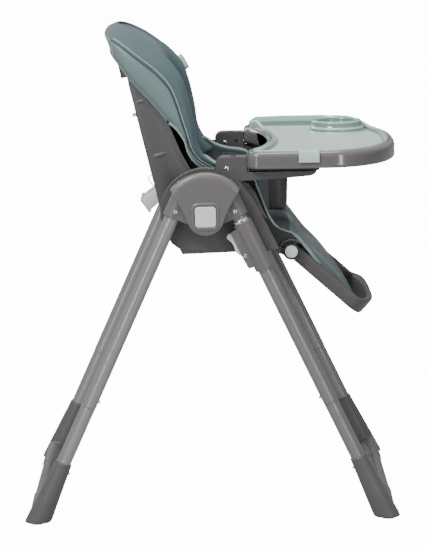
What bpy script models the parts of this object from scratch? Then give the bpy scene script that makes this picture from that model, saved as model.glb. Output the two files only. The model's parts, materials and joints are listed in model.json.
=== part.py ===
"""Folding, height-adjustable baby high chair.

Metres, +Z up, +X the way the child faces, Y = 0 the chair's middle plane. The floor is
Z = 0 and X = 0 is the middle of the chair's overall length. Everything is placed from
the hub, the pivot on which the two leg frames fold together.
"""
from math import atan2, cos, pi, radians, sin

import bmesh
import bpy
from mathutils import Matrix, Vector

# ---------------------------------------------------------------- driving dimensions
GAP = 0.0003                    # between pieces that touch
HUB_Z = 0.664                   # height of the fold pivot
TUBE_Y = 0.2715                 # leg tube centreline, each side of the middle plane
REAR_ANGLE = radians(24.7)      # leg to vertical
FRONT_ANGLE = radians(25.2)
LEG_OFFSET = 0.062              # leg centreline to the fold pivot

TUBE_R = 0.016                  # upper leg tube
TUBE_WALL = 0.0017
LOWER_R = 0.0155                # lower leg tube
SPIGOT_LENGTH = 0.045           # swaged end of the lower tube inside the upper one
SEAM_T = 0.478                  # distances T run down a leg from beside the pivot
BOOT_TOP_T = 0.611
BOOT_GRIP = 0.060               # how far the lower tube enters its boot
BAR_R = 0.015                   # floor bar between two boots
BAR_Z = 0.0200
BOOT_FOOT_X = 0.0295            # half length of a boot on the floor
BOOT_FOOT_Y = 0.0245
BOOT_REACH = 0.140              # how far a boot runs in along its floor bar
GLIDE_H = 0.003
GLIDE_R = 0.016

SOCKET_WALL = 0.0045
SOCKET_T = (-0.045, 0.033)
LUG_R = 0.034
LUG_Y = TUBE_Y - 0.0065         # the plane where the two hinge lugs meet
AXLE_R = 0.006
FAN_R = 0.0925                  # hub cover
FAN_ANGLE = radians(52)
BOSS_R = 0.0395
COVER_THICK = 0.0125
BOSS_RISE = 0.0015
BUTTON_SIZE = 0.0440
BUTTON_CORNER = 0.0070
BUTTON_THICK = 0.0085
BUTTON_TRAVEL = 0.005
BUTTON_PROUD = 0.0020

SLIDER_T = (0.047, 0.157)       # height slider on the front leg
HOUSING_T = (0.056, 0.143)
HOUSING_U = 0.030               # rear edge of the trigger housing, from the pivot line
TRIGGER_W = 0.0140
TRIGGER_PIVOT = (0.0340, 0.1066)

PLATE_Y = (0.230, 0.2470)       # side plate that carries the seat
PLATE_R = 0.0955
ARM_Y = (0.207, 0.2470)
WALL_Y = (0.178, 0.184)         # side wall of the seat base
WING_Y = (0.1860, 0.1900)       # side wall of the backrest shell
PAN_Z = 0.599                   # top of the seat pan

RECLINE_PIVOT = (-0.040, 0.640)     # X from the hub, Z
BACK_LEAN = radians(13)
BACK_REAR = -0.049              # rear face of the backrest, ahead of its pivot line
SHELL_TOP = 0.385
BACK_WALL = 0.004

HINGE = (0.182, 0.569)          # leg rest pivot, X from the hub, Z
HINGE_R = 0.018
HINGE_BUTTON_R = 0.0136
PIN_R = 0.0060
LEG_REST_ANGLE = radians(41.8)  # below horizontal
LEG_REST_HALF = 0.175
LEG_REST_LENGTH = 0.222
LEG_REST_RAIL = 0.014
LEG_REST_LOW = -0.0135
LEG_REST_HIGH = 0.0166
LEG_REST_FLOOR = 0.004          # thickness of its floor
LEG_REST_LIP = 0.0150           # how much higher the rim stands at the open end
LEG_REST_LIP_RUN = (0.160, 0.055)   # where the lip starts, and the run it rises over

TRAY_Z = (0.757, 0.793)
TRAY_HALF = 0.270
TRAY_REAR = 0.089               # X from the hub
TRAY_FRONT = 0.4165
TRAY_CURVE_X = 0.240            # where the sides turn into the front curve
TRAY_BELLY = 0.135              # deepest X of the cut for the child's belly
TRAY_LOBE = 0.060               # width of the rear corners beside the belly cut
TRAY_CORNER = 0.026
TRAY_RIM = 0.012
TRAY_SKIN = (0.774, 0.7775)
INSERT_FLOOR = 0.786
INSERT_RIM = 0.7955
INSERT_HIGH = 0.812             # rim of the cup holder
TRAY_SQUARE = 2.4               # power of the front curve, 2 for an ellipse
CUP = (0.300, 0.155, 0.060, 0.0465)     # X from the hub, Y, outer and inner radius
POST = (0.1620, 0.632)          # crotch post, X from the hub and lowest Z
RAIL_TOP = 0.7490
RAIL_END = 0.235

SIDES = {"right": -1, "left": 1}
REACH_REAR = LEG_OFFSET * cos(REAR_ANGLE) + BOOT_FOOT_X \
    + (HUB_Z + LEG_OFFSET * sin(REAR_ANGLE)) * sin(REAR_ANGLE) / cos(REAR_ANGLE)
REACH_FRONT = LEG_OFFSET * cos(FRONT_ANGLE) + BOOT_FOOT_X \
    + (HUB_Z + LEG_OFFSET * sin(FRONT_ANGLE)) * sin(FRONT_ANGLE) / cos(FRONT_ANGLE)
HUB_X = (REACH_REAR - max(REACH_FRONT, TRAY_FRONT)) / 2

MATERIALS = {
    "frame_plastic": ((0.148, 0.142, 0.136), 0.42, 0.0),
    "shell_plastic": ((0.105, 0.100, 0.096), 0.48, 0.0),
    "dark_plastic": ((0.028, 0.028, 0.030), 0.55, 0.0),
    "button_plastic": ((0.560, 0.575, 0.600), 0.35, 0.0),
    "tube_paint": ((0.210, 0.216, 0.226), 0.38, 0.6),
    "steel": ((0.550, 0.550, 0.560), 0.30, 1.0),
    "rubber": ((0.030, 0.030, 0.032), 0.80, 0.0),
    "tray_plastic": ((0.150, 0.144, 0.142), 0.15, 0.0),
    "insert_plastic": ((0.380, 0.500, 0.445), 0.18, 0.0),
    "fabric": ((0.130, 0.180, 0.190), 0.85, 0.0),
}


# ---------------------------------------------------------------- frames of reference
def hub(x, z):
    """A point given from the hub in X and from the floor in Z, as world (X, Z)."""
    return Vector((HUB_X + x, z))


class Line:
    """A 2-D frame in the XZ plane: an origin and a direction that lengths run along."""

    def __init__(self, origin, along, across):
        self.origin, self.along, self.across = origin, along, across

    def at(self, t, u):
        """World (X, Z) of the point t along and u across."""
        return self.origin + self.along * t + self.across * u


def leg_line(sign, angle):
    """T runs down the leg from the pivot, U runs out from the pivot towards the leg."""
    return Line(hub(0, HUB_Z), Vector((sign * sin(angle), -cos(angle))),
                Vector((sign * cos(angle), sin(angle))))


FRONT = leg_line(1, FRONT_ANGLE)
REAR = leg_line(-1, REAR_ANGLE)
BACK = Line(hub(*RECLINE_PIVOT), Vector((-sin(BACK_LEAN), cos(BACK_LEAN))),
            Vector((cos(BACK_LEAN), sin(BACK_LEAN))))
LEG_REST = Line(hub(*HINGE), Vector((cos(LEG_REST_ANGLE), -sin(LEG_REST_ANGLE))),
                Vector((sin(LEG_REST_ANGLE), cos(LEG_REST_ANGLE))))


# ---------------------------------------------------------------- modelling helpers
def material(slot):
    found = bpy.data.materials.get(slot)
    if found:
        return found
    colour, roughness, metallic = MATERIALS[slot]
    made = bpy.data.materials.new(slot)
    made.use_nodes = True
    shader = made.node_tree.nodes["Principled BSDF"]
    shader.inputs["Base Color"].default_value = (*colour, 1)
    shader.inputs["Roughness"].default_value = roughness
    shader.inputs["Metallic"].default_value = metallic
    return made


def named(name, mesh, slot, parent, pivot=(0, 0, 0)):
    """Put a mesh in the scene, with its origin on its joint's axis."""
    bmesh.ops.recalc_face_normals(mesh, faces=mesh.faces)
    bmesh.ops.translate(mesh, verts=mesh.verts, vec=-Vector(pivot))
    data = bpy.data.meshes.new(name)
    mesh.to_mesh(data)
    mesh.free()
    data.materials.append(material(slot))
    data.shade_smooth()
    data.set_sharp_from_angle(angle=radians(35))
    made = bpy.data.objects.new(name, data)
    made.location = Vector(pivot) - parent.location
    made.parent = parent
    bpy.context.scene.collection.objects.link(made)
    return made


def prism(outline, y0, y1):
    """Extrude an XZ outline from y0 to y1."""
    mesh = bmesh.new()
    face = mesh.faces.new([mesh.verts.new((x, y0, z)) for x, z in outline])
    grown = bmesh.ops.extrude_face_region(mesh, geom=[face])
    tips = [v for v in grown["geom"] if isinstance(v, bmesh.types.BMVert)]
    bmesh.ops.translate(mesh, verts=tips, vec=(0, y1 - y0, 0))
    return mesh


def slab(outline, z0, z1):
    """Extrude an XY outline from z0 to z1."""
    mesh = bmesh.new()
    face = mesh.faces.new([mesh.verts.new((x, y, z0)) for x, y in outline])
    grown = bmesh.ops.extrude_face_region(mesh, geom=[face])
    tips = [v for v in grown["geom"] if isinstance(v, bmesh.types.BMVert)]
    bmesh.ops.translate(mesh, verts=tips, vec=(0, 0, z1 - z0))
    return mesh


def loft(rings):
    """Bridge closed rings of points, all of one length, and cap both ends."""
    mesh = bmesh.new()
    rows = [[mesh.verts.new(p) for p in ring] for ring in rings]
    for low, high in zip(rows, rows[1:]):
        count = len(low)
        for i in range(count):
            j = (i + 1) % count
            mesh.faces.new((low[i], low[j], high[j], high[i]))
    mesh.faces.new(rows[0][::-1])
    mesh.faces.new(rows[-1])
    return mesh


def turned(profile, start, direction, segments=20):
    """Revolve a closed loop of (radius, distance) about the line from start."""
    axis = Vector(direction).normalized()
    side = axis.orthogonal().normalized()
    mesh = bmesh.new()
    verts = [mesh.verts.new(Vector(start) + axis * d + side * r) for r, d in profile]
    edges = [mesh.edges.new((verts[i - 1], verts[i])) for i in range(len(verts))]
    bmesh.ops.spin(mesh, geom=verts + edges, cent=start, axis=axis, angle=2 * pi,
                   steps=segments, use_merge=True)
    bmesh.ops.remove_doubles(mesh, verts=mesh.verts, dist=1e-6)
    return mesh


def rod(radius, start, end, segments=20):
    """A closed cylinder between two points."""
    start, end = Vector(start), Vector(end)
    turn = (end - start).to_track_quat("Z", "Y").to_matrix().to_4x4()
    mesh = bmesh.new()
    bmesh.ops.create_cone(mesh, cap_ends=True, segments=segments, radius1=radius,
                          radius2=radius, depth=(end - start).length,
                          matrix=Matrix.Translation((start + end) / 2) @ turn)
    return mesh


def combine(target, tool, operation):
    """Apply an exact Boolean of one mesh on another and return the result."""
    objects = []
    for mesh in (target, tool):
        bmesh.ops.recalc_face_normals(mesh, faces=mesh.faces)
        data = bpy.data.meshes.new("operand")
        mesh.to_mesh(data)
        mesh.free()
        made = bpy.data.objects.new("operand", data)
        bpy.context.scene.collection.objects.link(made)
        objects.append(made)
    step = objects[0].modifiers.new("cut", "BOOLEAN")
    step.operation = operation
    step.object = objects[1]
    step.solver = "EXACT"
    bpy.context.view_layer.update()
    graph = bpy.context.evaluated_depsgraph_get()
    result = bmesh.new()
    result.from_object(objects[0], graph)
    for made in objects:
        data = made.data
        bpy.data.objects.remove(made)
        bpy.data.meshes.remove(data)
    bmesh.ops.remove_doubles(result, verts=result.verts, dist=1e-6)
    return result


def cut(target, *tools):
    for tool in tools:
        target = combine(target, tool, "DIFFERENCE")
    return target


def joined(target, *tools):
    for tool in tools:
        target = combine(target, tool, "UNION")
    return target


def softened(mesh, width, pick, segments=2):
    """Round the edges that pick(edge) chooses."""
    edges = [e for e in mesh.edges if pick(e)]
    bmesh.ops.bevel(mesh, geom=edges, offset=width, segments=segments, profile=0.5,
                    affect="EDGES", material=-1)
    return mesh


def arc(centre, radius, start, end, steps):
    """Points of an arc, angles in radians from +first axis, both ends included."""
    return [(centre[0] + radius * cos(start + (end - start) * i / steps),
             centre[1] + radius * sin(start + (end - start) * i / steps))
            for i in range(steps + 1)]


def bend(start, control, end, steps):
    """Points of a quadratic curve, without its start."""
    points = []
    for i in range(1, steps + 1):
        t = i / steps
        points.append(tuple((1 - t) ** 2 * start[k] + 2 * t * (1 - t) * control[k]
                            + t * t * end[k] for k in (0, 1)))
    return points


def eased(share):
    """A share clamped to 0 to 1, with a smooth start and end."""
    share = min(max(share, 0.0), 1.0)
    return share * share * (3 - 2 * share)


def space(line, t, y, u=0.0):
    """World point t along and u across a line, at Y = y."""
    x, z = line.at(t, u)
    return Vector((x, y, z))


def at_side(mesh, side):
    """A mesh built on the left, for the left, or mirrored for the right."""
    if side < 0:
        bmesh.ops.scale(mesh, verts=mesh.verts, vec=(1, -1, 1))
        bmesh.ops.reverse_faces(mesh, faces=mesh.faces)
    return mesh


# ---------------------------------------------------------------- leg frames
def floor_t(line):
    """Where a leg's centreline meets the floor."""
    return line.at(0, LEG_OFFSET)[1] / -line.along[1]


def leg_tubes(name, line, body):
    """Upper tube, and lower tube with a swaged end that plugs into it."""
    bore = TUBE_R - TUBE_WALL
    spigot = bore - GAP
    inner = spigot - TUBE_WALL
    boot_t = BOOT_TOP_T + BOOT_GRIP - GAP
    for side, sign in SIDES.items():
        start = space(line, 0, sign * TUBE_Y, LEG_OFFSET)
        down = space(line, 1, sign * TUBE_Y, LEG_OFFSET) - start
        top = SOCKET_T[0] + SOCKET_WALL + GAP
        upper = [(TUBE_R, top), (TUBE_R, SEAM_T), (bore, SEAM_T), (bore, top)]
        named(f"{name}_upper_tube_{side}", turned(upper, start, down), "tube_paint",
              parent=body)
        seam = SEAM_T + GAP
        swage = SEAM_T - SPIGOT_LENGTH
        lower = [(LOWER_R, seam), (LOWER_R, boot_t), (inner, boot_t), (inner, swage),
                 (spigot, swage), (spigot, seam)]
        named(f"{name}_lower_tube_{side}", turned(lower, start, down), "tube_paint",
              parent=body)


def boot(line):
    """Corner boot on the left: a flared socket that turns in along the floor bar."""
    count = 20
    levels = 5
    end_t = floor_t(line)
    lean = atan2(line.along[0], -line.along[1])
    rings = []
    for level in range(levels + 1):
        part = level / levels
        centre = space(line, BOOT_TOP_T + (end_t - BOOT_TOP_T) * part, TUBE_Y, LEG_OFFSET)
        if level == levels:
            centre.z = GLIDE_H + GAP
        half_x = 0.0175 + (BOOT_FOOT_X - 0.0175) * part
        half_y = 0.0175 + (BOOT_FOOT_Y - 0.0175) * part
        tilt = lean * (1 - part)
        ring = []
        for i in range(count):
            turn = 2 * pi * i / count
            x = half_x * cos(turn)
            ring.append((centre.x + x * cos(tilt), centre.y + half_y * sin(turn),
                         centre.z + x * sin(tilt)))
        rings.append(ring)
    toe = rings[-1]
    middle = Vector((sum(p[0] for p in toe), sum(p[1] for p in toe), 0)) / count
    rings[-1] = [(p[0], p[1], p[2] + 0.004) for p in toe]
    rings.append([tuple(middle.lerp(Vector((p[0], p[1], 0)), 0.9).xy) + (p[2],)
                  for p in toe])
    leg = loft(rings)
    foot_x = line.at(end_t, LEG_OFFSET)[0]
    arms = []
    stations = 6
    for station in range(stations + 1):
        part = station / stations
        ease = part * part * (3 - 2 * part)
        half_x = BOOT_FOOT_X - 0.003 + (BAR_R + 0.0035 - BOOT_FOOT_X + 0.003) * ease
        high = 0.050 + (BAR_Z + BAR_R + 0.0035 - 0.050) * ease
        low = GLIDE_H + GAP
        mid = (high + low) / 2
        slant = -0.006 * (1 if line is FRONT else -1) * (1 - ease)
        ring = []
        for i in range(count):
            turn = 2 * pi * i / count
            z = (high - mid) * sin(turn)
            ring.append((foot_x + half_x * cos(turn) + slant * (0.5 + 0.5 * sin(turn)),
                         TUBE_Y - BOOT_REACH * part, mid + z))
        arms.append(ring)
    whole = joined(leg, loft(arms))
    tube_end = space(line, BOOT_TOP_T + BOOT_GRIP, TUBE_Y, LEG_OFFSET)
    tube_top = space(line, BOOT_TOP_T - 0.02, TUBE_Y, LEG_OFFSET)
    bar_end = Vector((foot_x, TUBE_Y - BOOT_REACH + 0.05, BAR_Z))
    bar_out = Vector((foot_x, TUBE_Y - BOOT_REACH - 0.02, BAR_Z))
    return cut(whole, rod(LOWER_R + GAP, tube_end, tube_top),
               rod(BAR_R + GAP, bar_end, bar_out))


def feet(name, line, body):
    foot_x = line.at(floor_t(line), LEG_OFFSET)[0]
    for side, sign in SIDES.items():
        named(f"{name}_boot_{side}", at_side(boot(line), sign), "frame_plastic",
              parent=body)
    half = TUBE_Y - BOOT_REACH + 0.05 - GAP
    loop = [(BAR_R, -half), (BAR_R, half), (BAR_R - TUBE_WALL, half),
            (BAR_R - TUBE_WALL, -half)]
    named(f"{name}_floor_bar", turned(loop, (foot_x, 0, BAR_Z), (0, 1, 0), 16),
          "tube_paint", parent=body)
    for side, sign in SIDES.items():
        pad = rod(GLIDE_R, (foot_x, sign * TUBE_Y, 0), (foot_x, sign * TUBE_Y, GLIDE_H), 16)
        named(f"{name}_glide_{side}", pad, "rubber", parent=body)


def socket(line, outer):
    """Left-hand hub socket: a block round the tube end, with a hinge lug inboard."""
    low, high = TUBE_Y - TUBE_R - SOCKET_WALL, TUBE_Y + TUBE_R + SOCKET_WALL
    edge = LEG_OFFSET + TUBE_R + SOCKET_WALL
    clear = LUG_R + 0.0012
    block = [line.at(SOCKET_T[0], 0.0425), line.at(SOCKET_T[0], edge),
             line.at(SOCKET_T[1], edge), line.at(SOCKET_T[1], 0.0275)]
    block += [line.at(t, u) for t, u in
              ((clear * sin(a), clear * cos(a)) for a in
               [radians(d) for d in (50, 35, 20, 5, -10, -25, -38)])]
    if outer:
        lug_y = (LUG_Y + GAP / 2, high)
    else:
        lug_y = (low, LUG_Y - GAP / 2)
    lug = rod(LUG_R, space(line, 0, lug_y[0]), space(line, 0, lug_y[1]), 32)
    web = prism([line.at(-0.020, 0.020), line.at(-0.020, 0.045), line.at(0.022, 0.045),
                 line.at(0.022, 0.020)], lug_y[0], lug_y[1])
    whole = joined(prism(block, low, high), lug, web)
    return cut(whole,
               rod(TUBE_R + GAP, space(line, SOCKET_T[0] + SOCKET_WALL, TUBE_Y, LEG_OFFSET),
                   space(line, SOCKET_T[1] + 0.02, TUBE_Y, LEG_OFFSET)),
               rod(AXLE_R + GAP, space(line, 0, low - 0.01), space(line, 0, high + 0.01)))


def fan_outline():
    """Hub cover seen from the side: a fan above a round boss."""
    corner = (FAN_R * sin(FAN_ANGLE), FAN_R * cos(FAN_ANGLE))
    points = arc((0, 0), FAN_R, pi / 2 - FAN_ANGLE, pi / 2 + FAN_ANGLE, 20)
    waist = radians(-8)
    tangent = (BOSS_R * cos(waist), BOSS_R * sin(waist))
    left = bend((-corner[0], corner[1]), (-0.0475, 0.0165), (-tangent[0], tangent[1]), 6)
    bottom = arc((0, 0), BOSS_R, pi - waist, 2 * pi + waist, 14)[1:]
    right = bend(tangent, (0.0475, 0.0165), corner, 6)[:-1]
    return [hub(x, HUB_Z + z) for x, z in points + left + bottom + right]


def square_outline(size, corner, steps=3):
    half = size / 2 - corner
    points = []
    for quarter in range(4):
        start = quarter * pi / 2
        centre = (half if quarter in (0, 3) else -half, half if quarter < 2 else -half)
        points += arc(centre, corner, start, start + pi / 2, steps)
    return [hub(x, HUB_Z + z) for x, z in points]


def hub_parts(front, rear):
    low = TUBE_Y - TUBE_R - SOCKET_WALL
    high = TUBE_Y + TUBE_R + SOCKET_WALL
    cover_in = high + GAP
    cover_out = cover_in + COVER_THICK
    for side, sign in SIDES.items():
        named(f"front_hub_socket_{side}", at_side(socket(FRONT, True), sign),
              "frame_plastic", parent=front)
        named(f"rear_hub_socket_{side}", at_side(socket(REAR, False), sign),
              "frame_plastic", pivot=(HUB_X, sign * TUBE_Y, HUB_Z), parent=rear)
        cover = prism(fan_outline(), cover_in, cover_out)
        softened(cover, 0.005, lambda e: all(abs(v.co.y - cover_out) < 1e-6
                                              for v in e.verts), 3)
        hole = square_outline(BUTTON_SIZE + 0.0016, BUTTON_CORNER)
        collar = prism(square_outline(BUTTON_SIZE + 0.0100, BUTTON_CORNER + 0.004),
                       cover_in + 0.004, cover_out + BOSS_RISE)
        cover = cut(joined(cover, collar), prism(hole, cover_in - 0.01, cover_out + 0.01))
        named(f"hub_cover_{side}", at_side(cover, sign), "frame_plastic", parent=front)
        axle = [space(FRONT, 0, sign * (low + 0.001)), space(FRONT, 0, sign * (high - 0.001))]
        named(f"hub_axle_{side}", rod(AXLE_R, *axle), "steel", parent=front)
        face = cover_out + BUTTON_PROUD
        button = prism(square_outline(BUTTON_SIZE, BUTTON_CORNER), face - BUTTON_THICK,
                       face)
        softened(button, 0.0012, lambda e: all(abs(v.co.y - face) < 1e-6
                                                for v in e.verts))
        named(f"fold_button_{side}", at_side(button, sign), "button_plastic",
              pivot=(HUB_X, sign * face, HUB_Z), parent=front)
        spring = turned([(0.0100, cover_in), (0.0100, face - BUTTON_THICK - GAP),
                         (0.0080, face - BUTTON_THICK - GAP), (0.0080, cover_in)],
                        (HUB_X, 0, HUB_Z), (0, 1, 0), 16)
        named(f"fold_spring_{side}", at_side(spring, sign), "steel", parent=front)


# ---------------------------------------------------------------- seat carriage
def slider():
    """Left-hand height slider: a sleeve on the front tube with a trigger housing."""
    centre = LEG_OFFSET
    radius = TUBE_R + SOCKET_WALL
    sleeve = rod(radius, space(FRONT, SLIDER_T[0], TUBE_Y, centre),
                 space(FRONT, SLIDER_T[1], TUBE_Y, centre), 28)
    top, bottom = SLIDER_T[0] + 0.0005, SLIDER_T[1] - 0.0005
    foot = prism([FRONT.at(top, centre - 0.014), FRONT.at(top, centre + 0.014),
                  FRONT.at(bottom, centre + 0.014), FRONT.at(bottom, centre - 0.014)],
                 PLATE_Y[1] + GAP, TUBE_Y)
    cheek = 0.0052
    half = TRIGGER_W / 2 + GAP + cheek
    housing = prism([FRONT.at(HOUSING_T[0], HOUSING_U), FRONT.at(HOUSING_T[0], centre - 0.005),
                     FRONT.at(HOUSING_T[1], centre - 0.005),
                     FRONT.at(HOUSING_T[1], HOUSING_U + 0.002),
                     FRONT.at(HOUSING_T[1] - 0.008, HOUSING_U)], TUBE_Y - half, TUBE_Y + half)
    slot = prism([FRONT.at(HOUSING_T[0] - 0.02, 0), FRONT.at(HOUSING_T[0] - 0.02, 0.0412),
                  FRONT.at(0.1185, 0.0412), FRONT.at(0.1185, 0)],
                 TUBE_Y - TRIGGER_W / 2 - GAP, TUBE_Y + TRIGGER_W / 2 + GAP)
    whole = cut(joined(sleeve, foot, housing), slot)
    return cut(whole, rod(TUBE_R + GAP, space(FRONT, SLIDER_T[0] - 0.02, TUBE_Y, centre),
                          space(FRONT, SLIDER_T[1] + 0.02, TUBE_Y, centre), 28))


def trigger():
    """Left-hand height trigger: a curved lever, pivoted at its lower end."""
    wave = [(0.058, 0.0245), (0.0605, 0.0200), (0.065, 0.0185), (0.071, 0.0210),
            (0.078, 0.0238), (0.087, 0.0240), (0.096, 0.0232), (0.105, 0.0248),
            (0.113, 0.0300), (0.1135, 0.0345), (0.108, 0.0385), (0.095, 0.0350),
            (0.070, 0.0345), (0.059, 0.0320)]
    return prism([FRONT.at(t, u) for t, u in wave], TUBE_Y - TRIGGER_W / 2,
                 TUBE_Y + TRIGGER_W / 2)


def side_plate():
    """Left-hand plate behind the hub, between the slider and the seat base."""
    points = [hub(x, HUB_Z + z) for x, z in arc((0, 0), PLATE_R, radians(200),
                                                radians(77), 16)]
    arm_low = 0.7305
    points += [hub(0.0215, arm_low), hub(0.072, arm_low), hub(0.119, 0.657),
               hub(0.155, 0.585), hub(0.132, 0.5805), hub(0.060, 0.580),
               hub(-0.055, 0.586), hub(-0.073, 0.600)]
    return prism(points, *PLATE_Y)


def armrest():
    """Left-hand armrest: a rounded block with a rail that the tray runs on."""
    top = 0.781
    points = [hub(0.023, 0.747), hub(0.0232, 0.764)]
    points += [hub(x, z) for x, z in arc((0.0405, 0.7635), 0.0175, pi, pi / 2, 5)]
    points += [hub(TRAY_REAR - 0.0025, top), hub(TRAY_REAR - 0.0025, RAIL_TOP),
               hub(RAIL_END, RAIL_TOP)]
    points += [hub(x, z) for x, z in bend((RAIL_END, RAIL_TOP), (RAIL_END - 0.002, 0.740),
                                          (RAIL_END - 0.018, 0.7385), 4)]
    points += [hub(0.171, 0.735), hub(0.087, 0.7312), hub(0.059, 0.7312),
               hub(0.040, 0.7365)]
    whole = prism(points, *ARM_Y)
    return softened(whole, 0.004, lambda e: all(v.co.z > top - 0.018 for v in e.verts)
                    and abs(e.verts[0].co.y - e.verts[1].co.y) < 1e-6)


def seat_base():
    """Bucket under the seat: pan, side walls and the flanges that meet the plates."""
    pan = [hub(-0.073, 0.6040), hub(-0.062, 0.585), hub(-0.051, 0.565), hub(0.062, 0.568),
           hub(0.120, 0.570), hub(0.148, 0.582), hub(0.158, PAN_Z), hub(-0.068, PAN_Z)]
    whole = prism(pan, -WALL_Y[1], WALL_Y[1])
    pocket = [hub(-0.055, 0.592), hub(-0.045, 0.540), hub(0.110, 0.540), hub(0.140, 0.592)]
    whole = cut(whole, prism(pocket, -WALL_Y[0], WALL_Y[0]))
    wall = [hub(-0.014, PAN_Z - 0.004), hub(-0.014, 0.760), hub(0.004, 0.752),
            hub(0.060, 0.728), hub(0.093, 0.715), hub(0.108, 0.694), hub(0.126, 0.652),
            hub(0.142, 0.622), hub(0.160, 0.600)]
    wall += [hub(x, z) for x, z in arc(HINGE, 0.0165, radians(100), radians(-90), 8)]
    wall += [hub(0.150, 0.567), hub(0.140, 0.575)]
    for sign in SIDES.values():
        whole = joined(whole, at_side(prism(wall, *WALL_Y), sign))
        flange = [hub(0.035, 0.590), hub(0.035, 0.690), hub(0.085, 0.690),
                  hub(0.125, 0.612), hub(0.125, 0.590)]
        whole = joined(whole, at_side(prism(flange, WALL_Y[0] + 0.002, PLATE_Y[0] - GAP),
                                      sign))
        hole = rod(PIN_R + GAP, (HUB_X + HINGE[0], sign * (WALL_Y[0] - 0.01), HINGE[1]),
                   (HUB_X + HINGE[0], sign * (WALL_Y[1] + 0.01), HINGE[1]), 16)
        whole = cut(whole, hole)
    return whole


def seat_pad():
    """Cushion with side wings, as one plain soft solid."""
    low = PAN_Z + GAP
    cushion = [hub(-0.050, low), hub(-0.058, 0.640), hub(-0.040, 0.650), hub(-0.010, 0.634),
               hub(0.060, 0.628), hub(0.130, 0.632), hub(0.172, 0.627), hub(0.190, 0.612),
               hub(0.186, 0.6005), hub(0.165, low)]
    wing = [hub(-0.010, low), hub(-0.010, 0.778), hub(0.004, 0.774), hub(0.024, 0.760),
            hub(0.051, 0.751), hub(0.092, 0.735), hub(0.100, 0.719), hub(0.114, 0.699),
            hub(0.132, 0.652), hub(0.146, 0.627), hub(0.163, 0.609), hub(0.166, low)]
    edge = WALL_Y[0] - 0.001
    whole = prism(cushion, -edge + 0.002, edge - 0.002)
    for sign in SIDES.values():
        whole = joined(whole, at_side(prism(wing, edge - 0.024, edge), sign))
    return whole


# ---------------------------------------------------------------- backrest
def u_ring(line, t, half, rear, front, wall, floor, round_by):
    """Ring of a U-shaped section, open to the front, at height t on the backrest."""
    inner = half - wall
    side = [(half, front), (half, rear + round_by), (half - 0.3 * round_by, rear + 0.3 * round_by),
            (half - round_by, rear)]
    hollow = [(inner - 0.6 * round_by, rear + floor),
              (inner - 0.18 * round_by, rear + floor + 0.18 * round_by),
              (inner, rear + floor + 0.6 * round_by), (inner, front)]
    right = [(-y, u) for y, u in side]
    left = [(y, u) for y, u in side[::-1]]
    back = [(y, u) for y, u in hollow[::-1]]
    ring = right + left + back + [(-y, u) for y, u in hollow]
    return [tuple(space(line, t, y, u)) for y, u in ring]


def back_shell():
    """Thin moulded shell with side wings that pivot on the seat base."""
    # height on the back, and how far forward the wing reaches there
    edge = [(SHELL_TOP, -0.036), (0.320, -0.034), (0.270, -0.018), (0.219, 0.010),
            (0.143, 0.0238), (0.098, 0.036), (0.060, 0.036)]
    ear = arc((0, 0), 0.034, radians(65), radians(235), 12)
    wing = [BACK.at(SHELL_TOP, BACK_REAR)] + [BACK.at(*p) for p in edge + ear]
    wing.append(BACK.at(0.019, BACK_REAR))
    skin = BACK_REAR + 0.0002
    whole = prism([BACK.at(0.0195, skin), BACK.at(SHELL_TOP - 0.0005, skin),
                   BACK.at(SHELL_TOP - 0.0005, BACK_REAR + BACK_WALL),
                   BACK.at(0.0195, BACK_REAR + BACK_WALL)],
                  -WING_Y[0] - 0.001, WING_Y[0] + 0.001)
    ridge = prism([BACK.at(0.325, BACK_REAR - 0.0135), BACK.at(0.3835, BACK_REAR - 0.0135),
                   BACK.at(0.3835, BACK_REAR + 0.002), BACK.at(0.325, BACK_REAR + 0.002)],
                  -0.165, 0.165)
    whole = joined(whole, ridge)
    for sign in SIDES.values():
        whole = joined(whole, at_side(prism(wing, *WING_Y), sign))
        whole = cut(whole, rod(PIN_R + GAP, space(BACK, 0, sign * (WING_Y[0] - 0.01)),
                               space(BACK, 0, sign * (WING_Y[1] + 0.01)), 16))
    return whole


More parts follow.
